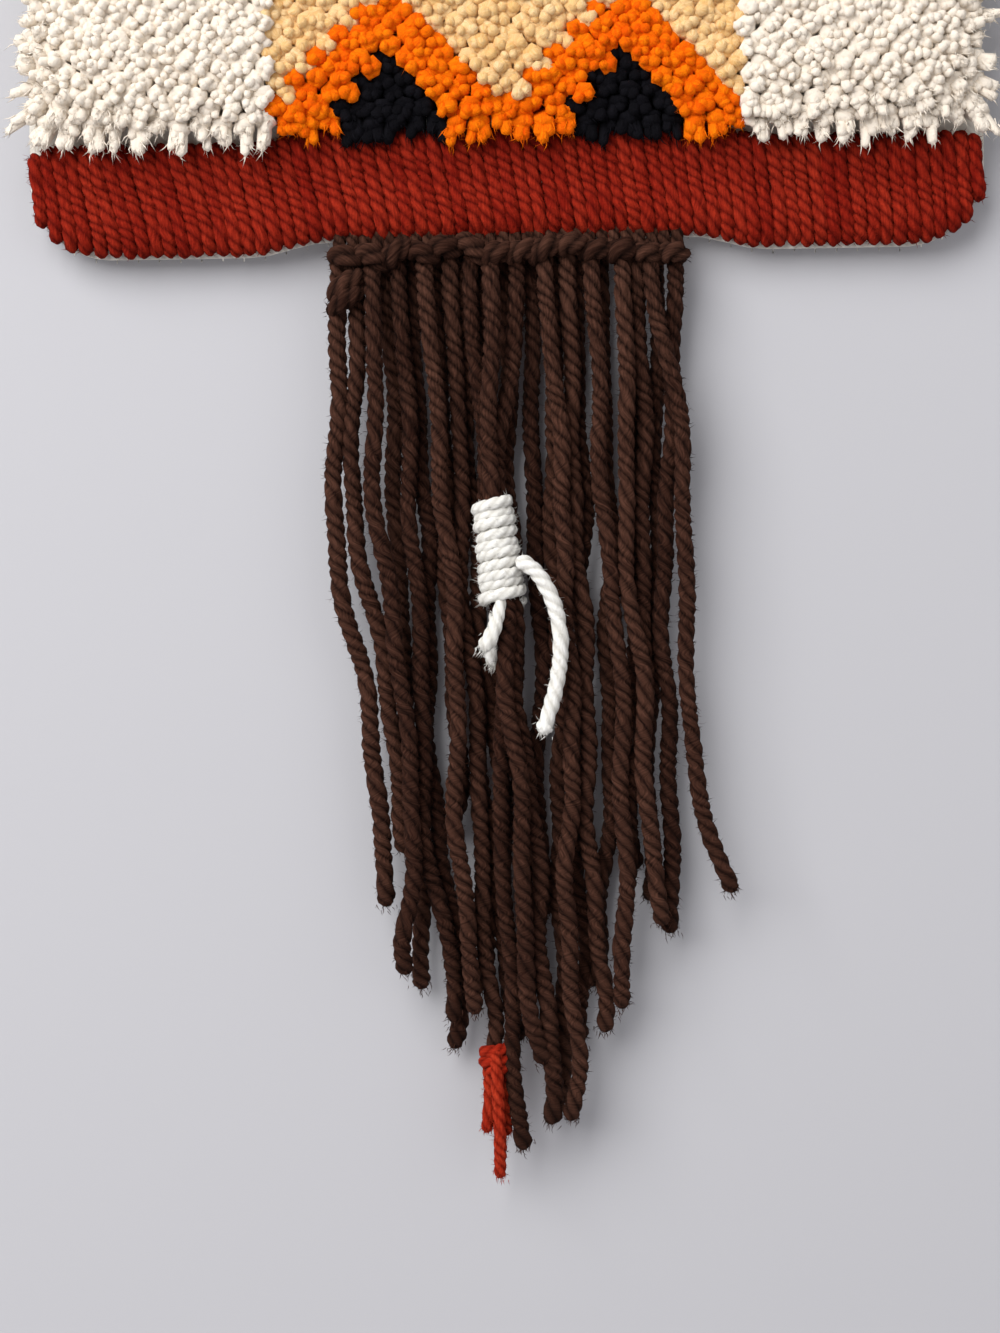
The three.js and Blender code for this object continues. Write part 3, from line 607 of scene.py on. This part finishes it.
for k, share in enumerate(rows):
    x = np.concatenate([[-CANVAS_WIDTH / 2 + 0.3], columns_x, [CANVAS_WIDTH / 2 - 0.3]])
    z = straight_edge(x) * share
    x, z = x[z > lower_edge(x) + 0.4], z[z > lower_edge(x) + 0.4]
    y = THREAD_Y - 0.25 * (-1.0) ** (np.arange(len(x)) + k)
    threads.append(twisted_yarn(np.stack([x, y, z], axis=1), THREAD, sides=4, groove=0))
canvas_threads = make_piece("canvas_threads", threads, canvas_cloth, "canvas", "canvas")

# %% [markdown]
# ## One pile end, by hand
# Each latch hook knot leaves two cut ends of yarn, side by side. The wool opens at the cut, so from the
# front an end looks like a small soft ball. One end is modelled by hand: a round face is extruded step by
# step, widened towards the tip and drawn in again, and its last face is poked to a point. The white wool is
# looser, and its ends open into small curls, so it has a smaller and simpler shape. A wide blunt one is the
# part of an end that is pressed among its neighbours, and keeps the pile closed below the tips. The last is
# the loop behind the canvas.

# %% One pile end, by hand
def model_end(name, sides, start, steps):
    """Extrudes a round face through steps of (rise, widen) to height 1 and reads it back as arrays."""
    bpy.ops.mesh.primitive_circle_add(vertices=sides, radius=start, fill_type="NGON")
    end = bpy.context.object
    bpy.ops.object.mode_set(mode="EDIT")
    for rise, widen in steps:
        bpy.ops.mesh.extrude_region_move(TRANSFORM_OT_translate={"value": (0, 0, rise)})
        bpy.ops.transform.resize(value=(widen, widen, 1))
    bpy.ops.mesh.poke(offset=1 - sum(rise for rise, _ in steps))
    bpy.ops.mesh.select_all(action="SELECT")
    bpy.ops.mesh.normals_make_consistent(inside=False)
    bpy.ops.object.mode_set(mode="OBJECT")
    shape = np.array([v.co for v in end.data.vertices])
    faces = [list(p.vertices) for p in end.data.polygons]
    bpy.data.objects.remove(end)
    widest = np.hypot(shape[:, 0], shape[:, 1]).max()
    print(f"{name}: {len(shape)} points, height {shape[:, 2].max():.2f}, widest {widest:.2f}")
    quads = np.array([f for f in faces if len(f) == 4])
    fans = [[f[0], f[k], f[k + 1]] for f in faces if len(f) != 4 for k in range(1, len(f) - 1)]
    return shape, quads, np.array(fans)


PILE_END = model_end("pile end", 8, 0.66, [(0.62, 1.5), (0.3, 0.82)])
CURL = model_end("curl", 6, 0.7, [(0.62, 1.45), (0.32, 0.74)])
END_BODY = model_end("end's body", 6, 0.85, [(0.84, 1.15), (0.11, 0.8)])
BACK_LOOP = model_end("back loop", 5, 0.5, [(0.2, 1.9), (0.6, 1.0)])


def bend(template, start, middle, end, radius, flat=1.0, lobes=0.0):
    """Copies a template end along the bent path of each start, middle and end point."""
    shape, quads, tris = template
    count, size = len(start), len(shape)
    t = np.clip(shape[:, 2], 0, 1)[None, :, None]
    start, middle, end = start[:, None], middle[:, None], end[:, None]
    path = (1 - t) ** 2 * start + 2 * t * (1 - t) * middle + t**2 * end
    along = unit(2 * (1 - t) * (middle - start) + 2 * t * (end - middle))
    side = np.array([1.0, 0, 0])
    across = unit(side - along * along[..., :1])
    upward = np.cross(along, across)
    angle = np.arctan2(shape[:, 1], shape[:, 0])[None, :] + chance.uniform(0, 2 * np.pi, (count, 1))
    phase = chance.uniform(0, 2 * np.pi, (2, count, 1))
    wide = np.hypot(shape[:, 0], shape[:, 1])[None, :] * radius[:, None]
    wide = wide * (1 + lobes * (np.cos(2 * angle + phase[0]) + np.cos(3 * angle + phase[1] + 5 * t[..., 0])))
    wide = wide * (1 + 0.3 * lobes * chance.normal(size=(count, size)))
    sideways = (wide * np.cos(angle))[..., None] * across
    points = path + sideways + (wide * flat * np.sin(angle))[..., None] * upward
    reach = np.linalg.norm(end - start, axis=2)
    lengthwise = t[..., 0] * reach + chance.uniform(0, 900, (count, 1))
    flat_map = np.stack([angle * radius[:, None], lengthwise], axis=2)

    def corner_map(faces):
        corners = [flat_map[:, faces[:, k]] for k in range(faces.shape[1])]
        return np.stack(corners, axis=2).reshape(-1, faces.shape[1], 2)

    base = (np.arange(count) * size)[:, None, None]
    return {
        "points": points.reshape(-1, 3),
        "quads": (base + quads).reshape(-1, 4),
        "tris": (base + tris).reshape(-1, 3),
        "quad_map": corner_map(quads),
        "tri_map": corner_map(tris),
        # The crown mark rises from root to tip, so the roots of the pile get painted shade.
        "crown": np.tile(0.15 + 0.85 * np.clip(shape[:, 2], 0, 1) ** 1.4, count),
        "tone": np.repeat(chance.uniform(size=count), size),
    }


# %% [markdown]
# ## The pile, knot by knot
# The design is charted on the canvas as a maker charts it, one square for each knot: white sides, and in
# the middle stepped orange diamonds with black cores, cream between them. From the chart come the roots of
# the ends. The tips stand out at the pile's height, sag a little, and turn outwards near the rim, where
# nothing holds them up, and the lowest ends fall over the top of the band.

# %% Chart
PILE_COLUMNS, PILE_ROWS, SIDE_COLUMNS = 44, 34, 11
DIAMOND_PITCH, DIAMOND_RADIUS, CORE_RADIUS = 11, 5, 2
PILE_FOOT = -PILE_ROWS * MESH
HALF_PILE = PILE_COLUMNS * MESH / 2
PILE_BACK = -2.3

squares = np.meshgrid(np.arange(PILE_COLUMNS), np.arange(PILE_ROWS), indexing="ij")
column, row = (numbers.ravel() for numbers in squares)
inner = column - SIDE_COLUMNS
in_middle = (inner >= 0) & (inner < PILE_COLUMNS - 2 * SIDE_COLUMNS)
across_diamond = np.abs(inner % DIAMOND_PITCH - DIAMOND_RADIUS)
along_diamond = np.abs((row + DIAMOND_RADIUS) % DIAMOND_PITCH - DIAMOND_RADIUS)
steps = across_diamond + along_diamond
CHART = {
    "white_left": column < SIDE_COLUMNS,
    "white_right": column >= PILE_COLUMNS - SIDE_COLUMNS,
    "black": in_middle & (steps <= CORE_RADIUS),
    "orange": in_middle & (steps > CORE_RADIUS) & (steps <= DIAMOND_RADIUS),
    "cream": in_middle & (steps > DIAMOND_RADIUS),
}
knot_x = (column + 0.5) * MESH - HALF_PILE
knot_z = (row + 0.5) * MESH + PILE_FOOT
print("chart:", {name: int(cells.sum()) for name, cells in CHART.items()}, "knots")

# %% [markdown]
# ## Tufts
# One function grows the pile of a colour from its squares: the ends and their pressed bodies, the loose
# fibres, the locks, and the loops at the back. No two ends stand quite alike, so each one strays a little
# from its place and has its own height and thickness. An end of coloured wool opens into two tips, and one
# of white wool into four curls. The lowest row has twice its ends, so that the rim stays closed where it
# falls over the band.

# %% Tufts
SPLAY, RIM_FADE, FOOT_FADE, RIM_DROP, SAG = 11, 9, 6, 0.42, 1.2
STRAY, TUFT_RING, BODY = 0.75, 1.7, 3.75
LOCK, LOCKS = 0.28, 3
HAIR, NAP_FIBRE = 0.05, 0.12
LOOP, LOOP_FLAT, LOOP_Y, LOOP_BULGE = 1.75, 0.34, -0.95, 0.62
WHITE_PILE = {  # lengths in mm, shares of the radius, and fibres to a tip
    "height": 19, "template": CURL, "tufts": 4, "radius": 1.95, "loose": 0.8,
    "lobes": 0.12, "gap": 1.5, "hairs": 0.5, "nap": 0,
}
COLOURED_PILE = {
    "template": PILE_END, "tufts": 2, "radius": 2.1, "loose": 0.45,
    "lobes": 0.07, "gap": 1.5, "hairs": 1, "nap": 1,
}


def pile(name, height, template, tufts, radius, loose, lobes, gap, hairs, nap):
    """Every end of one colour: its tips, its pressed body, its fibres and locks, and the back loops."""
    cells = CHART[name]
    x = np.concatenate([knot_x[cells] - MESH / 4, knot_x[cells] + MESH / 4])
    z = np.concatenate([knot_z[cells] + MESH / 4, knot_z[cells] - MESH / 4])
    lowest = z < PILE_FOOT + MESH
    x, z = np.concatenate([x, x[lowest]]), np.concatenate([z, z[lowest]])
    x, z = np.repeat(x, tufts), np.repeat(z, tufts)
    count = len(x)
    stray = np.repeat(chance.normal(0, STRAY, (count // tufts, 2)), tufts, axis=0)
    stray = stray + chance.normal(0, loose, (count, 2))
    turn = 2 * np.pi * np.arange(count) / tufts
    stray += TUFT_RING * np.stack([np.cos(turn), np.sin(turn)], axis=1)
    left, right = np.exp(-(x + HALF_PILE) / RIM_FADE), np.exp((x - HALF_PILE) / RIM_FADE)
    top, foot = np.exp(z / RIM_FADE), np.exp(-(z - PILE_FOOT) / FOOT_FADE)
    rim = np.clip(left + right + top + foot, 0, 1)
    out = height * chance.uniform(0.89, 1.03, count) * (1 - RIM_DROP * rim)
    ragged = SPLAY * chance.uniform(0.3, 1.15, count)
    lean_x = 0.7 * ragged * (right - left) + stray[:, 0]
    lean_z = ragged * (1.3 * top - 1.2 * foot) - SAG + stray[:, 1]
    start = np.stack([x, np.full(count, PILE_BACK), z], axis=1)
    middle = start + np.stack([lean_x * 0.25, -out * 0.76, lean_z * 0.12], axis=1)
    end = start + np.stack([lean_x, -out, lean_z], axis=1)
    thick = radius * chance.uniform(0.8, 1.18, count) * (1 + 0.08 * rim)
    ends = bend(template, start, middle, end, thick, lobes=lobes)
    own_start, own_middle, own_end = (p.reshape(-1, tufts, 3).mean(axis=1) for p in (start, middle, end))
    sunk = gap * (1 + 2.5 * rim[::tufts, None])
    lowered = own_end + unit(own_middle - own_end) * sunk
    bodies = bend(END_BODY, own_start, own_middle, lowered, np.full(len(lowered), BODY), lobes=0.05)

    def on_tips(share):
        pick = np.repeat(np.arange(count), np.round(share * np.ones(count)).astype(int))
        tip_way = unit(end - middle)[pick]
        around = unit(np.cross(tip_way, chance.normal(size=(len(pick), 3))))
        fan = chance.uniform(0.05, 1.0, (len(pick), 1)) ** 0.6
        starts = end[pick] + (around * fan * 0.93 - tip_way * (0.05 + fan**3)) * thick[pick][:, None]
        outward = unit(around * fan + tip_way * (1.1 - 0.75 * fan))
        return starts, outward, chance.normal(0, 1, (len(pick), 3)), tip_way

    starts, outward, askew, tip_way = on_tips(hairs + 2 * rim)
    fuzz = loose_fibres(starts, outward + 0.5 * askew, chance.uniform(1.2, 3.4, len(starts)), HAIR)
    starts, outward, askew, tip_way = on_tips(LOCKS * (rim > 0.45))
    lengths = chance.uniform(3.2, 6.2, len(starts))
    locks = loose_fibres(starts - 2 * tip_way, tip_way + 0.28 * askew, lengths, LOCK)
    starts, outward, askew, tip_way = on_tips(nap)
    lying = outward * 0.55 + unit(np.cross(outward, askew))
    lengths = chance.uniform(1.0, 2.0, len(starts))
    short = short_fibres(starts, lying, lengths, NAP_FIBRE, outward + 0.2 * askew)
    back = np.stack([knot_x[cells], np.full(cells.sum(), LOOP_Y), knot_z[cells]], axis=1)
    tall = np.array([0, 0, MESH * 0.42])
    width = np.full(len(back), LOOP)
    loops = bend(BACK_LOOP, back + tall, back + [0, LOOP_BULGE, 0], back - tall, width, flat=LOOP_FLAT)
    return [ends, bodies, fuzz, locks, short, loops]


for side in ("left", "right"):
    tufts = pile("white_" + side, **WHITE_PILE)
    make_piece("white_tufts_" + side, tufts, WHITE, "white_wool", "white_pile_" + side)
for name, height, finish in (("orange", 17, ORANGE), ("black", 14, BLACK), ("cream", 17, CREAM)):
    nodes = [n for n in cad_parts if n.startswith(name + "_")]
    tufts = pile(name, height=height, **COLOURED_PILE)
    make_piece(name + "_tufts", tufts, finish, name + "_wool", *nodes)

# %% [markdown]
# ## The laid band
# Along the lower edge the yarn isn't knotted but laid side by side in upright strands, from a hole in the
# canvas just under the pile's foot to one near the edge. At the left the strands lean, at the right they
# stand almost straight. Each one is a piece of the same twisted yarn, pressed against the next, with its
# ends going back into the canvas. Short stitches on the back of the canvas carry the yarn from one strand
# to the next.

# %% The laid band
BAND_STRANDS, BAND_HALF = 71, 151.5
BAND_HEIGHT, BAND_EDGE, TOP_CORNER = 36, 0.5, 8
LEAN_LEFT, LEAN_RIGHT = 0.2, 0.04
BAND_YARN, BAND_STEP, BAND_LEAD = 2.62, 1.35, 12
BAND_Y = -5.3
STITCH = 0.55

laid, stitches = [], []
for k in range(BAND_STRANDS):
    share = (k + 0.5) / BAND_STRANDS
    x = BAND_HALF * (2 * share - 1)
    near_end = min(1, 0.15 + (x + BAND_HALF) / 30)
    lean = (LEAN_LEFT + (LEAN_RIGHT - LEAN_LEFT) * share) * near_end + chance.normal(0, 0.008)
    leaning = lean * BAND_HEIGHT / 2
    top_x, foot_x = np.clip([x - leaning, x + leaning], 1 - BAND_HALF, BAND_HALF - 1)
    top = straight_edge(top_x) + BAND_HEIGHT - corner_rise(top_x, BAND_HALF + 1, TOP_CORNER)
    over_corner = 1.7 * np.clip(corner_rise(foot_x, CANVAS_WIDTH / 2, CORNER) / 5, 0, 1)
    foot = lower_edge(foot_x) + BAND_EDGE - over_corner + chance.uniform(-0.4, 0.4)
    y = BAND_Y + chance.normal(0, 0.18)
    middle_x = (top_x + foot_x) / 2 + chance.normal(0, 0.25)
    route = [
        (top_x, -3.2, top), (top_x, y, top - 2.6), (middle_x, y - 0.2, (top + foot) / 2),
        (foot_x, y, foot + 2.6), (foot_x, -3.4, foot),
    ]
    path = even_path(route, BAND_STEP)
    thick = BAND_YARN * chance.uniform(0.95, 1.05)
    laid.append(twisted_yarn(path, thick, groove=0.2, lead=BAND_LEAD * chance.uniform(0.88, 1.12)))
    laid.append(yarn_fuzz(path, thick, 0.3, 2.5, (1.2, 3.0)))
    for z in (top - 2, foot + 3):
        stitch = [(foot_x - 2.4, -0.9, z), (foot_x, -0.6, z + 0.4), (foot_x + 2.4, -0.9, z)]
        stitches.append(twisted_yarn(even_path(stitch, 1.2), STITCH, sides=6, groove=0.1))
make_piece("laid_band", laid + stitches, RUST, "rust_wool", "rust_band")

# %% [markdown]
# ## The fringe
# Twenty-eight strands of dark brown yarn hang from a row of knots, in three layers from the canvas
# outwards. The solids are plain bars on the same routes, so each route is written as where the strand
# starts, where it is at two fifths and three quarters of its way down, and where it ends, with the length
# of its drop below the canvas's edge. A strand that is wound by the cotton cord also passes through the
# winding.

# %% Fringe routes
LAYER = {"back": 3.1, "middle": 7.9, "front": 12.7}
ROOT_DROP = 6.3
STRANDS = [  # x at the root, at 0.4, at 0.75 and at the tip of the drop, drop, layer
    (-54, -56.5, -46.5, -40, 212, "middle"), (-48.5, -50.3, -41.3, -35, 195, "middle"),
    (-43.5, -42.7, -33, -39, 233, "front"), (-35.1, -31.3, -28.8, -20, 249, "middle"),
    (-26.9, -20.6, -18.6, -15.4, 246, "front"), (-18.7, -15.8, -11.6, -8.6, 262, "middle"),
    (11.4, 16.8, 15.6, 16.6, 280, "front"), (18.4, 20.4, 23, 26, 253, "middle"),
    (26, 29.3, 34, 30.4, 245, "front"), (36, 35.9, 40.2, 44.3, 219, "front"),
    (40.8, 41.5, 37.6, 30.6, 231, "middle"), (45, 54.4, 54.2, 66, 209, "front"),
    (52.8, 48.8, 47.2, 49.6, 222, "middle"),
    (-39.2, -37, -34.6, -29.6, 239, "back"), (-31, -28.2, -25.4, -16.4, 258, "back"),
    (-23, -22, -19.6, -19.8, 189, "back"), (-15.5, -12.6, -10.6, -10.4, 240, "back"),
    (-8.6, -7.4, -5.4, -3.6, 256, "back"), (-1.6, -0.6, 0.6, 4.6, 243, "back"),
    (6.6, 7.2, 7, 7.4, 216, "back"), (13.9, 13, 13.4, 11.6, 280, "back"),
    (21.4, 22, 19.6, 18.8, 257, "back"), (29.2, 30.4, 28.6, 25.4, 239, "back"),
    (37.4, 38.4, 37, 36.2, 202, "back"), (47, 46, 42.8, 40.6, 212, "back"),
]
WRAP_TOP, WRAP_FOOT = 83, 118
WRAP_X, WRAP_LEAN, WRAP_DEPTH, WRAP_CORE = -6.6, 3, 13.6, 2.4
# x at the root, angle in the winding, depth, x at 0.75 of the drop, x at the tip, drop, layer
WOUND_STRANDS = [
    (-12.3, 150, 10.2, -4.8, 0.2, 289, "middle"),
    (-6, 270, 16.4, 0.6, 3.8, 262, "front"),
    (2.4, 30, 10.2, 6, 10.4, 281, "middle"),
]


def hang(x, depth, drop):
    """A point of the fringe: its side, its depth before the wall, its drop below the canvas's edge."""
    return (x, -depth, EDGE_Z - drop)


def from_head(root, depth):
    """The first two points of a strand, which comes out from behind its head to the depth of its layer."""
    return [hang(root, min(depth, 7.6), ROOT_DROP - 2), hang(root, min(depth, 11), ROOT_DROP + 8)]


routes = {"front": [], "middle": [], "back": []}
for root, mid, low, tip, drop, layer in STRANDS:
    depth = LAYER[layer]
    stops = [((root + mid) / 2, 0.2 * drop), (mid, 0.4 * drop), (low, 0.75 * drop), (tip, drop)]
    routes[layer].append(from_head(root, depth) + [hang(x, depth, d) for x, d in stops])
for root, angle, depth, low, tip, drop, layer in WOUND_STRANDS:
    turn = math.radians(angle)
    stops = from_head(root, LAYER[layer]) + [hang(root + 0.35 * (WRAP_X - root), depth, 0.55 * WRAP_TOP)]
    for inside in (WRAP_TOP - 4, WRAP_FOOT + 4):
        axis = WRAP_X + WRAP_LEAN * (inside - WRAP_TOP) / (WRAP_FOOT - WRAP_TOP)
        stops.append(hang(axis + WRAP_CORE * math.cos(turn), WRAP_DEPTH - WRAP_CORE * math.sin(turn), inside))
    routes[layer].append(stops + [hang(low, depth, 0.75 * drop), hang(tip, LAYER["front"], drop)])
print("fringe:", {layer: len(group) for layer, group in routes.items()}, "strands")

# %% [markdown]
# ## Fringe strands
# Each route becomes a twisted yarn that swings a little on its way down, is thicker here and thinner there,
# and ends in a swollen, frayed and often hooked tip, because a cut yarn untwists. The back layer is hardly
# seen, so it has fewer sides and less fuzz.

# %% Fringe strands
STRAND, STRAND_STEP = 2.95, 1.3
TIP_FIBRES = 40


def cut_tip(path, radius):
    """The frayed fibres at the cut end of a strand."""
    way = unit(path[-1] - path[-3])
    starts = path[-1] + chance.normal(0, radius * 0.42, (TIP_FIBRES, 3)) - way * 1.4
    spread = way + chance.normal(0, 0.4, (TIP_FIBRES, 3))
    return loose_fibres(starts, spread, chance.uniform(1.4, 2.6, TIP_FIBRES), 0.13)


for layer, group in routes.items():
    strands = []
    for route in group:
        path = even_path(route, STRAND_STEP)
        steps_down = np.linspace(0, 1, len(path))
        thick = STRAND * chance.uniform(0.95, 1.03)
        thick = thick * (1 + 0.03 * np.sin(steps_down * chance.uniform(8, 20) + chance.uniform(0, 6)))
        thick = thick * (1 + 0.14 * np.clip((steps_down - 0.975) / 0.02, 0, 1))
        held = np.sin(np.pi * np.clip(steps_down, 0, 0.5))
        for wave, swing in ((chance.uniform(38, 60), 0.7), (chance.uniform(70, 120), 1.1)):
            turn = steps_down * len(path) * STRAND_STEP * 2 * np.pi / wave + chance.uniform(0, 7)
            path[:, 0] += swing * held * np.sin(turn)
        path[:, 0] += chance.normal(0, 2.2) * np.clip((steps_down - 0.93) / 0.07, 0, 1) ** 2
        sides = 9 if layer == "back" else 12
        fuzz = yarn_fuzz(path, STRAND, 0.1, 1) if layer == "back" else yarn_fuzz(path, STRAND, 0.55, 2.5)
        yarn = twisted_yarn(path, thick, sides, groove=0.27, lead=LEAD * chance.uniform(0.93, 1.07))
        strands += [yarn, fuzz, cut_tip(path, STRAND)]
    make_piece("fringe_" + layer, strands, BROWN, "brown_wool", "fringe")

# %% [markdown]
# ## The heads of the fringe
# Each strand is folded in half and drawn through the edge of the canvas in a lark's head: from the front
# there is a short bar across, with the two legs coming out from behind it. The bars aren't quite level, and
# at the left end one has slipped and tightened into a bulky slanting knot. Each bar is a short length of
# thick twisted yarn that bends back at both ends, and behind it two legs go up to the canvas.

# %% The heads of the fringe
HEADS, HALF_FRINGE = 14, 55.5
HEAD_DROP = 5.3
HEAD, SLIPPED, LEG = 3.3, 3.2, 2.3
HEAD_LEAD = 13
HEAD_FUZZ = (0.5, 3, (1.0, 3.0))

heads = []
for k in range(HEADS):
    x = HALF_FRINGE * (2 * (k + 0.5) / HEADS - 1) + chance.normal(0, 0.4)
    drop = HEAD_DROP + chance.normal(0, 0.7)
    tilt = chance.normal(0, 0.9)
    bar = [
        hang(x - 3.5, 5.5, drop + 0.9 + tilt), hang(x - 2.7, 10.4, drop + 0.2 + tilt),
        hang(x, 12.2, drop - 0.3),
        hang(x + 2.7, 10.4, drop + 0.2 - tilt), hang(x + 3.5, 5.5, drop + 0.9 - tilt),
    ]
    path = even_path(bar, 1.0)
    bulge = 0.62 + 0.5 * np.sin(np.pi * np.linspace(0, 1, len(path)))
    thick = HEAD * bulge * chance.uniform(0.95, 1.08)
    heads += [twisted_yarn(path, thick, groove=0.3, lead=HEAD_LEAD), yarn_fuzz(path, HEAD, *HEAD_FUZZ)]
    for side in (-2.1, 2.1):
        leg = [hang(x + side, 3.6, -3.5), hang(x + side, 5.4, 1.0), hang(x + side, 7.2, drop + 1)]
        heads.append(twisted_yarn(even_path(leg, 1.2), LEG))
for low in (0, 5):
    slant = [
        hang(-56.6, 6, 18.5 + low), hang(-54, 11.4, 16.6 + low),
        hang(-50, 12.4, 13.6 + low), hang(-46.2, 8.6, 11.4 + low),
    ]
    path = even_path(slant, 1.0)
    bulge = 0.75 + 0.35 * np.sin(np.pi * np.linspace(0, 1, len(path)))
    heads.append(twisted_yarn(path, SLIPPED * bulge, groove=0.26, lead=HEAD_LEAD))
    heads.append(yarn_fuzz(path, SLIPPED, *HEAD_FUZZ))
make_piece("fringe_heads", heads, BROWN, "brown_wool", "fringe")

# %% [markdown]
# ## The cotton winding
# A bleached cotton cord is wound ten times round three strands, with its end drawn back under the turns. It
# is a three-ply cord too, so it is the same twisted yarn on a spiral path. The turns are pressed thinner
# than the free end, and not quite even. The long end comes out at the side, arches over and hangs, and is a
# free cord of its own. The short ends below the winding are frayed.

# %% The cotton winding
TURNS = 10
CORD, PRESSED = 2.6, 2.1
CORD_LEAD, PRESSED_LEAD, FRAYED_LEAD = 14, 11, 13

turn = np.linspace(0, 2 * np.pi * TURNS, 22 * TURNS)
wound = turn / turn[-1]
drop = WRAP_TOP + 1.7 + (WRAP_FOOT - WRAP_TOP - 3.4) * wound + 0.5 * np.sin(turn / 3.1) - 0.55 * np.cos(turn)
spread = 4.75 + 1.1 * wound**2 + 0.3 * np.sin(turn / 2.3 + 1)
spiral_x = WRAP_X + WRAP_LEAN * wound + spread * np.cos(turn)
spiral = np.stack([spiral_x, -(WRAP_DEPTH + spread * np.sin(turn)), EDGE_Z - drop], axis=1)
short_ends = [
    ([hang(-4.4, 16.5, 113), hang(-5.0, 19.6, 119), hang(-7.2, 20.6, 126), hang(-10.4, 20.2, 131.5)], 2.0),
    ([hang(-6.0, 12.5, 114), hang(-6.8, 12.0, 125), hang(-7.4, 11.6, 136.5)], 1.9),
]
winding = [
    twisted_yarn(spiral, PRESSED, groove=0.17, lead=PRESSED_LEAD),
    yarn_fuzz(spiral, PRESSED, 0.7, 2, (1.0, 3.5)),
]
for route, radius in short_ends:
    path = even_path(route, 1.0)
    thick = radius * np.linspace(0.8, 1.5, len(path))
    winding.append(twisted_yarn(path, thick, lead=FRAYED_LEAD))
    winding += [cut_tip(path, radius * 1.4), cut_tip(path, radius * 1.4)]
long_end = [
    hang(0.8, 19.0, 103), hang(6, 20.6, 106.5), hang(10.6, 20.4, 113.5),
    hang(14, 19.6, 128), hang(12.6, 19, 142), hang(7.8, 18.6, 158),
]
path = even_path(long_end, 1.2)
opened = twisted_yarn(even_path(path[-5:], 0.8), CORD * 1.16, lead=CORD_LEAD)
winding += [yarn_fuzz(path, CORD, 0.6, 2, (1.0, 3.0)), opened, cut_tip(path, CORD)]
make_piece("cotton_winding", winding, COTTON, "white_cotton", "wrap_tie")
cord = twisted_yarn(path, CORD, sides=15, groove=0.18, lead=CORD_LEAD)
cotton_end = make_piece("cotton_end", [cord], COTTON, "white_cotton", "wrap_tie")

# %% [markdown]
# ## The red tie
# A short piece of red yarn is knotted round the tip of one strand, with a little more than two turns. Its
# two sides hang down beside each other, and its long tail lies over them and hangs lowest.

# %% The red tie
RED_YARN, RED_STEP, RED_LEAD = 2.15, 1.1, 12
RED_FUZZ = (0.5, 3, (0.8, 2.5))
TIE_X, TIE_DEPTH = -8.6, 9.2
KNOT_TURNS, KNOT_TOP, KNOT_HEIGHT = 2.4, 257, 7.5

turn = np.linspace(0, 2 * np.pi * KNOT_TURNS, 46)
knot_drop = KNOT_TOP + KNOT_HEIGHT * turn / turn[-1]
loop_x, loop_y = TIE_X + 3.5 * np.cos(turn), -(TIE_DEPTH + 3.3 * np.sin(turn))
knot = np.stack([loop_x, loop_y, EDGE_Z - knot_drop], axis=1)
red_sides = [
    [hang(-11.0, 7.4, 261), hang(-10.6, 9.6, 267), hang(-10.8, 10.0, 275), hang(-11.8, 9.4, 284)],
    [hang(-6.2, 7.4, 261), hang(-6.4, 9.6, 267), hang(-6.0, 10.0, 275), hang(-5.4, 9.6, 285)],
]
tie = [twisted_yarn(knot, RED_YARN, lead=RED_LEAD)]
for route in red_sides:
    path = even_path(route, RED_STEP)
    tie.append(twisted_yarn(path, RED_YARN, lead=RED_LEAD))
    tie += [yarn_fuzz(path, RED_YARN, *RED_FUZZ), cut_tip(path, RED_YARN)]
tail = [
    hang(-8.8, 11.6, 256.5), hang(-8.4, 13.6, 262), hang(-8.0, 13.8, 272),
    hang(-7.6, 12.6, 286), hang(-7.8, 11.4, 298),
]
tail = even_path(tail, RED_STEP)
tie += [yarn_fuzz(tail, RED_YARN, *RED_FUZZ), cut_tip(tail, RED_YARN)]
make_piece("red_knot", tie, RED, "red_wool", "red_tie")
hanging_tail = twisted_yarn(tail, RED_YARN, lead=RED_LEAD)
red_tail = make_piece("red_tail", [hanging_tail], RED, "red_wool", "red_tie")

# %% [markdown]
# ## Size
# The box of the dressed hanging, without the backdrop and floor, is printed in millimetres.

# %% Size
low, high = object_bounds()
print("dressed box in mm", [round(v / MM, 1) for v in (*low, *high)])
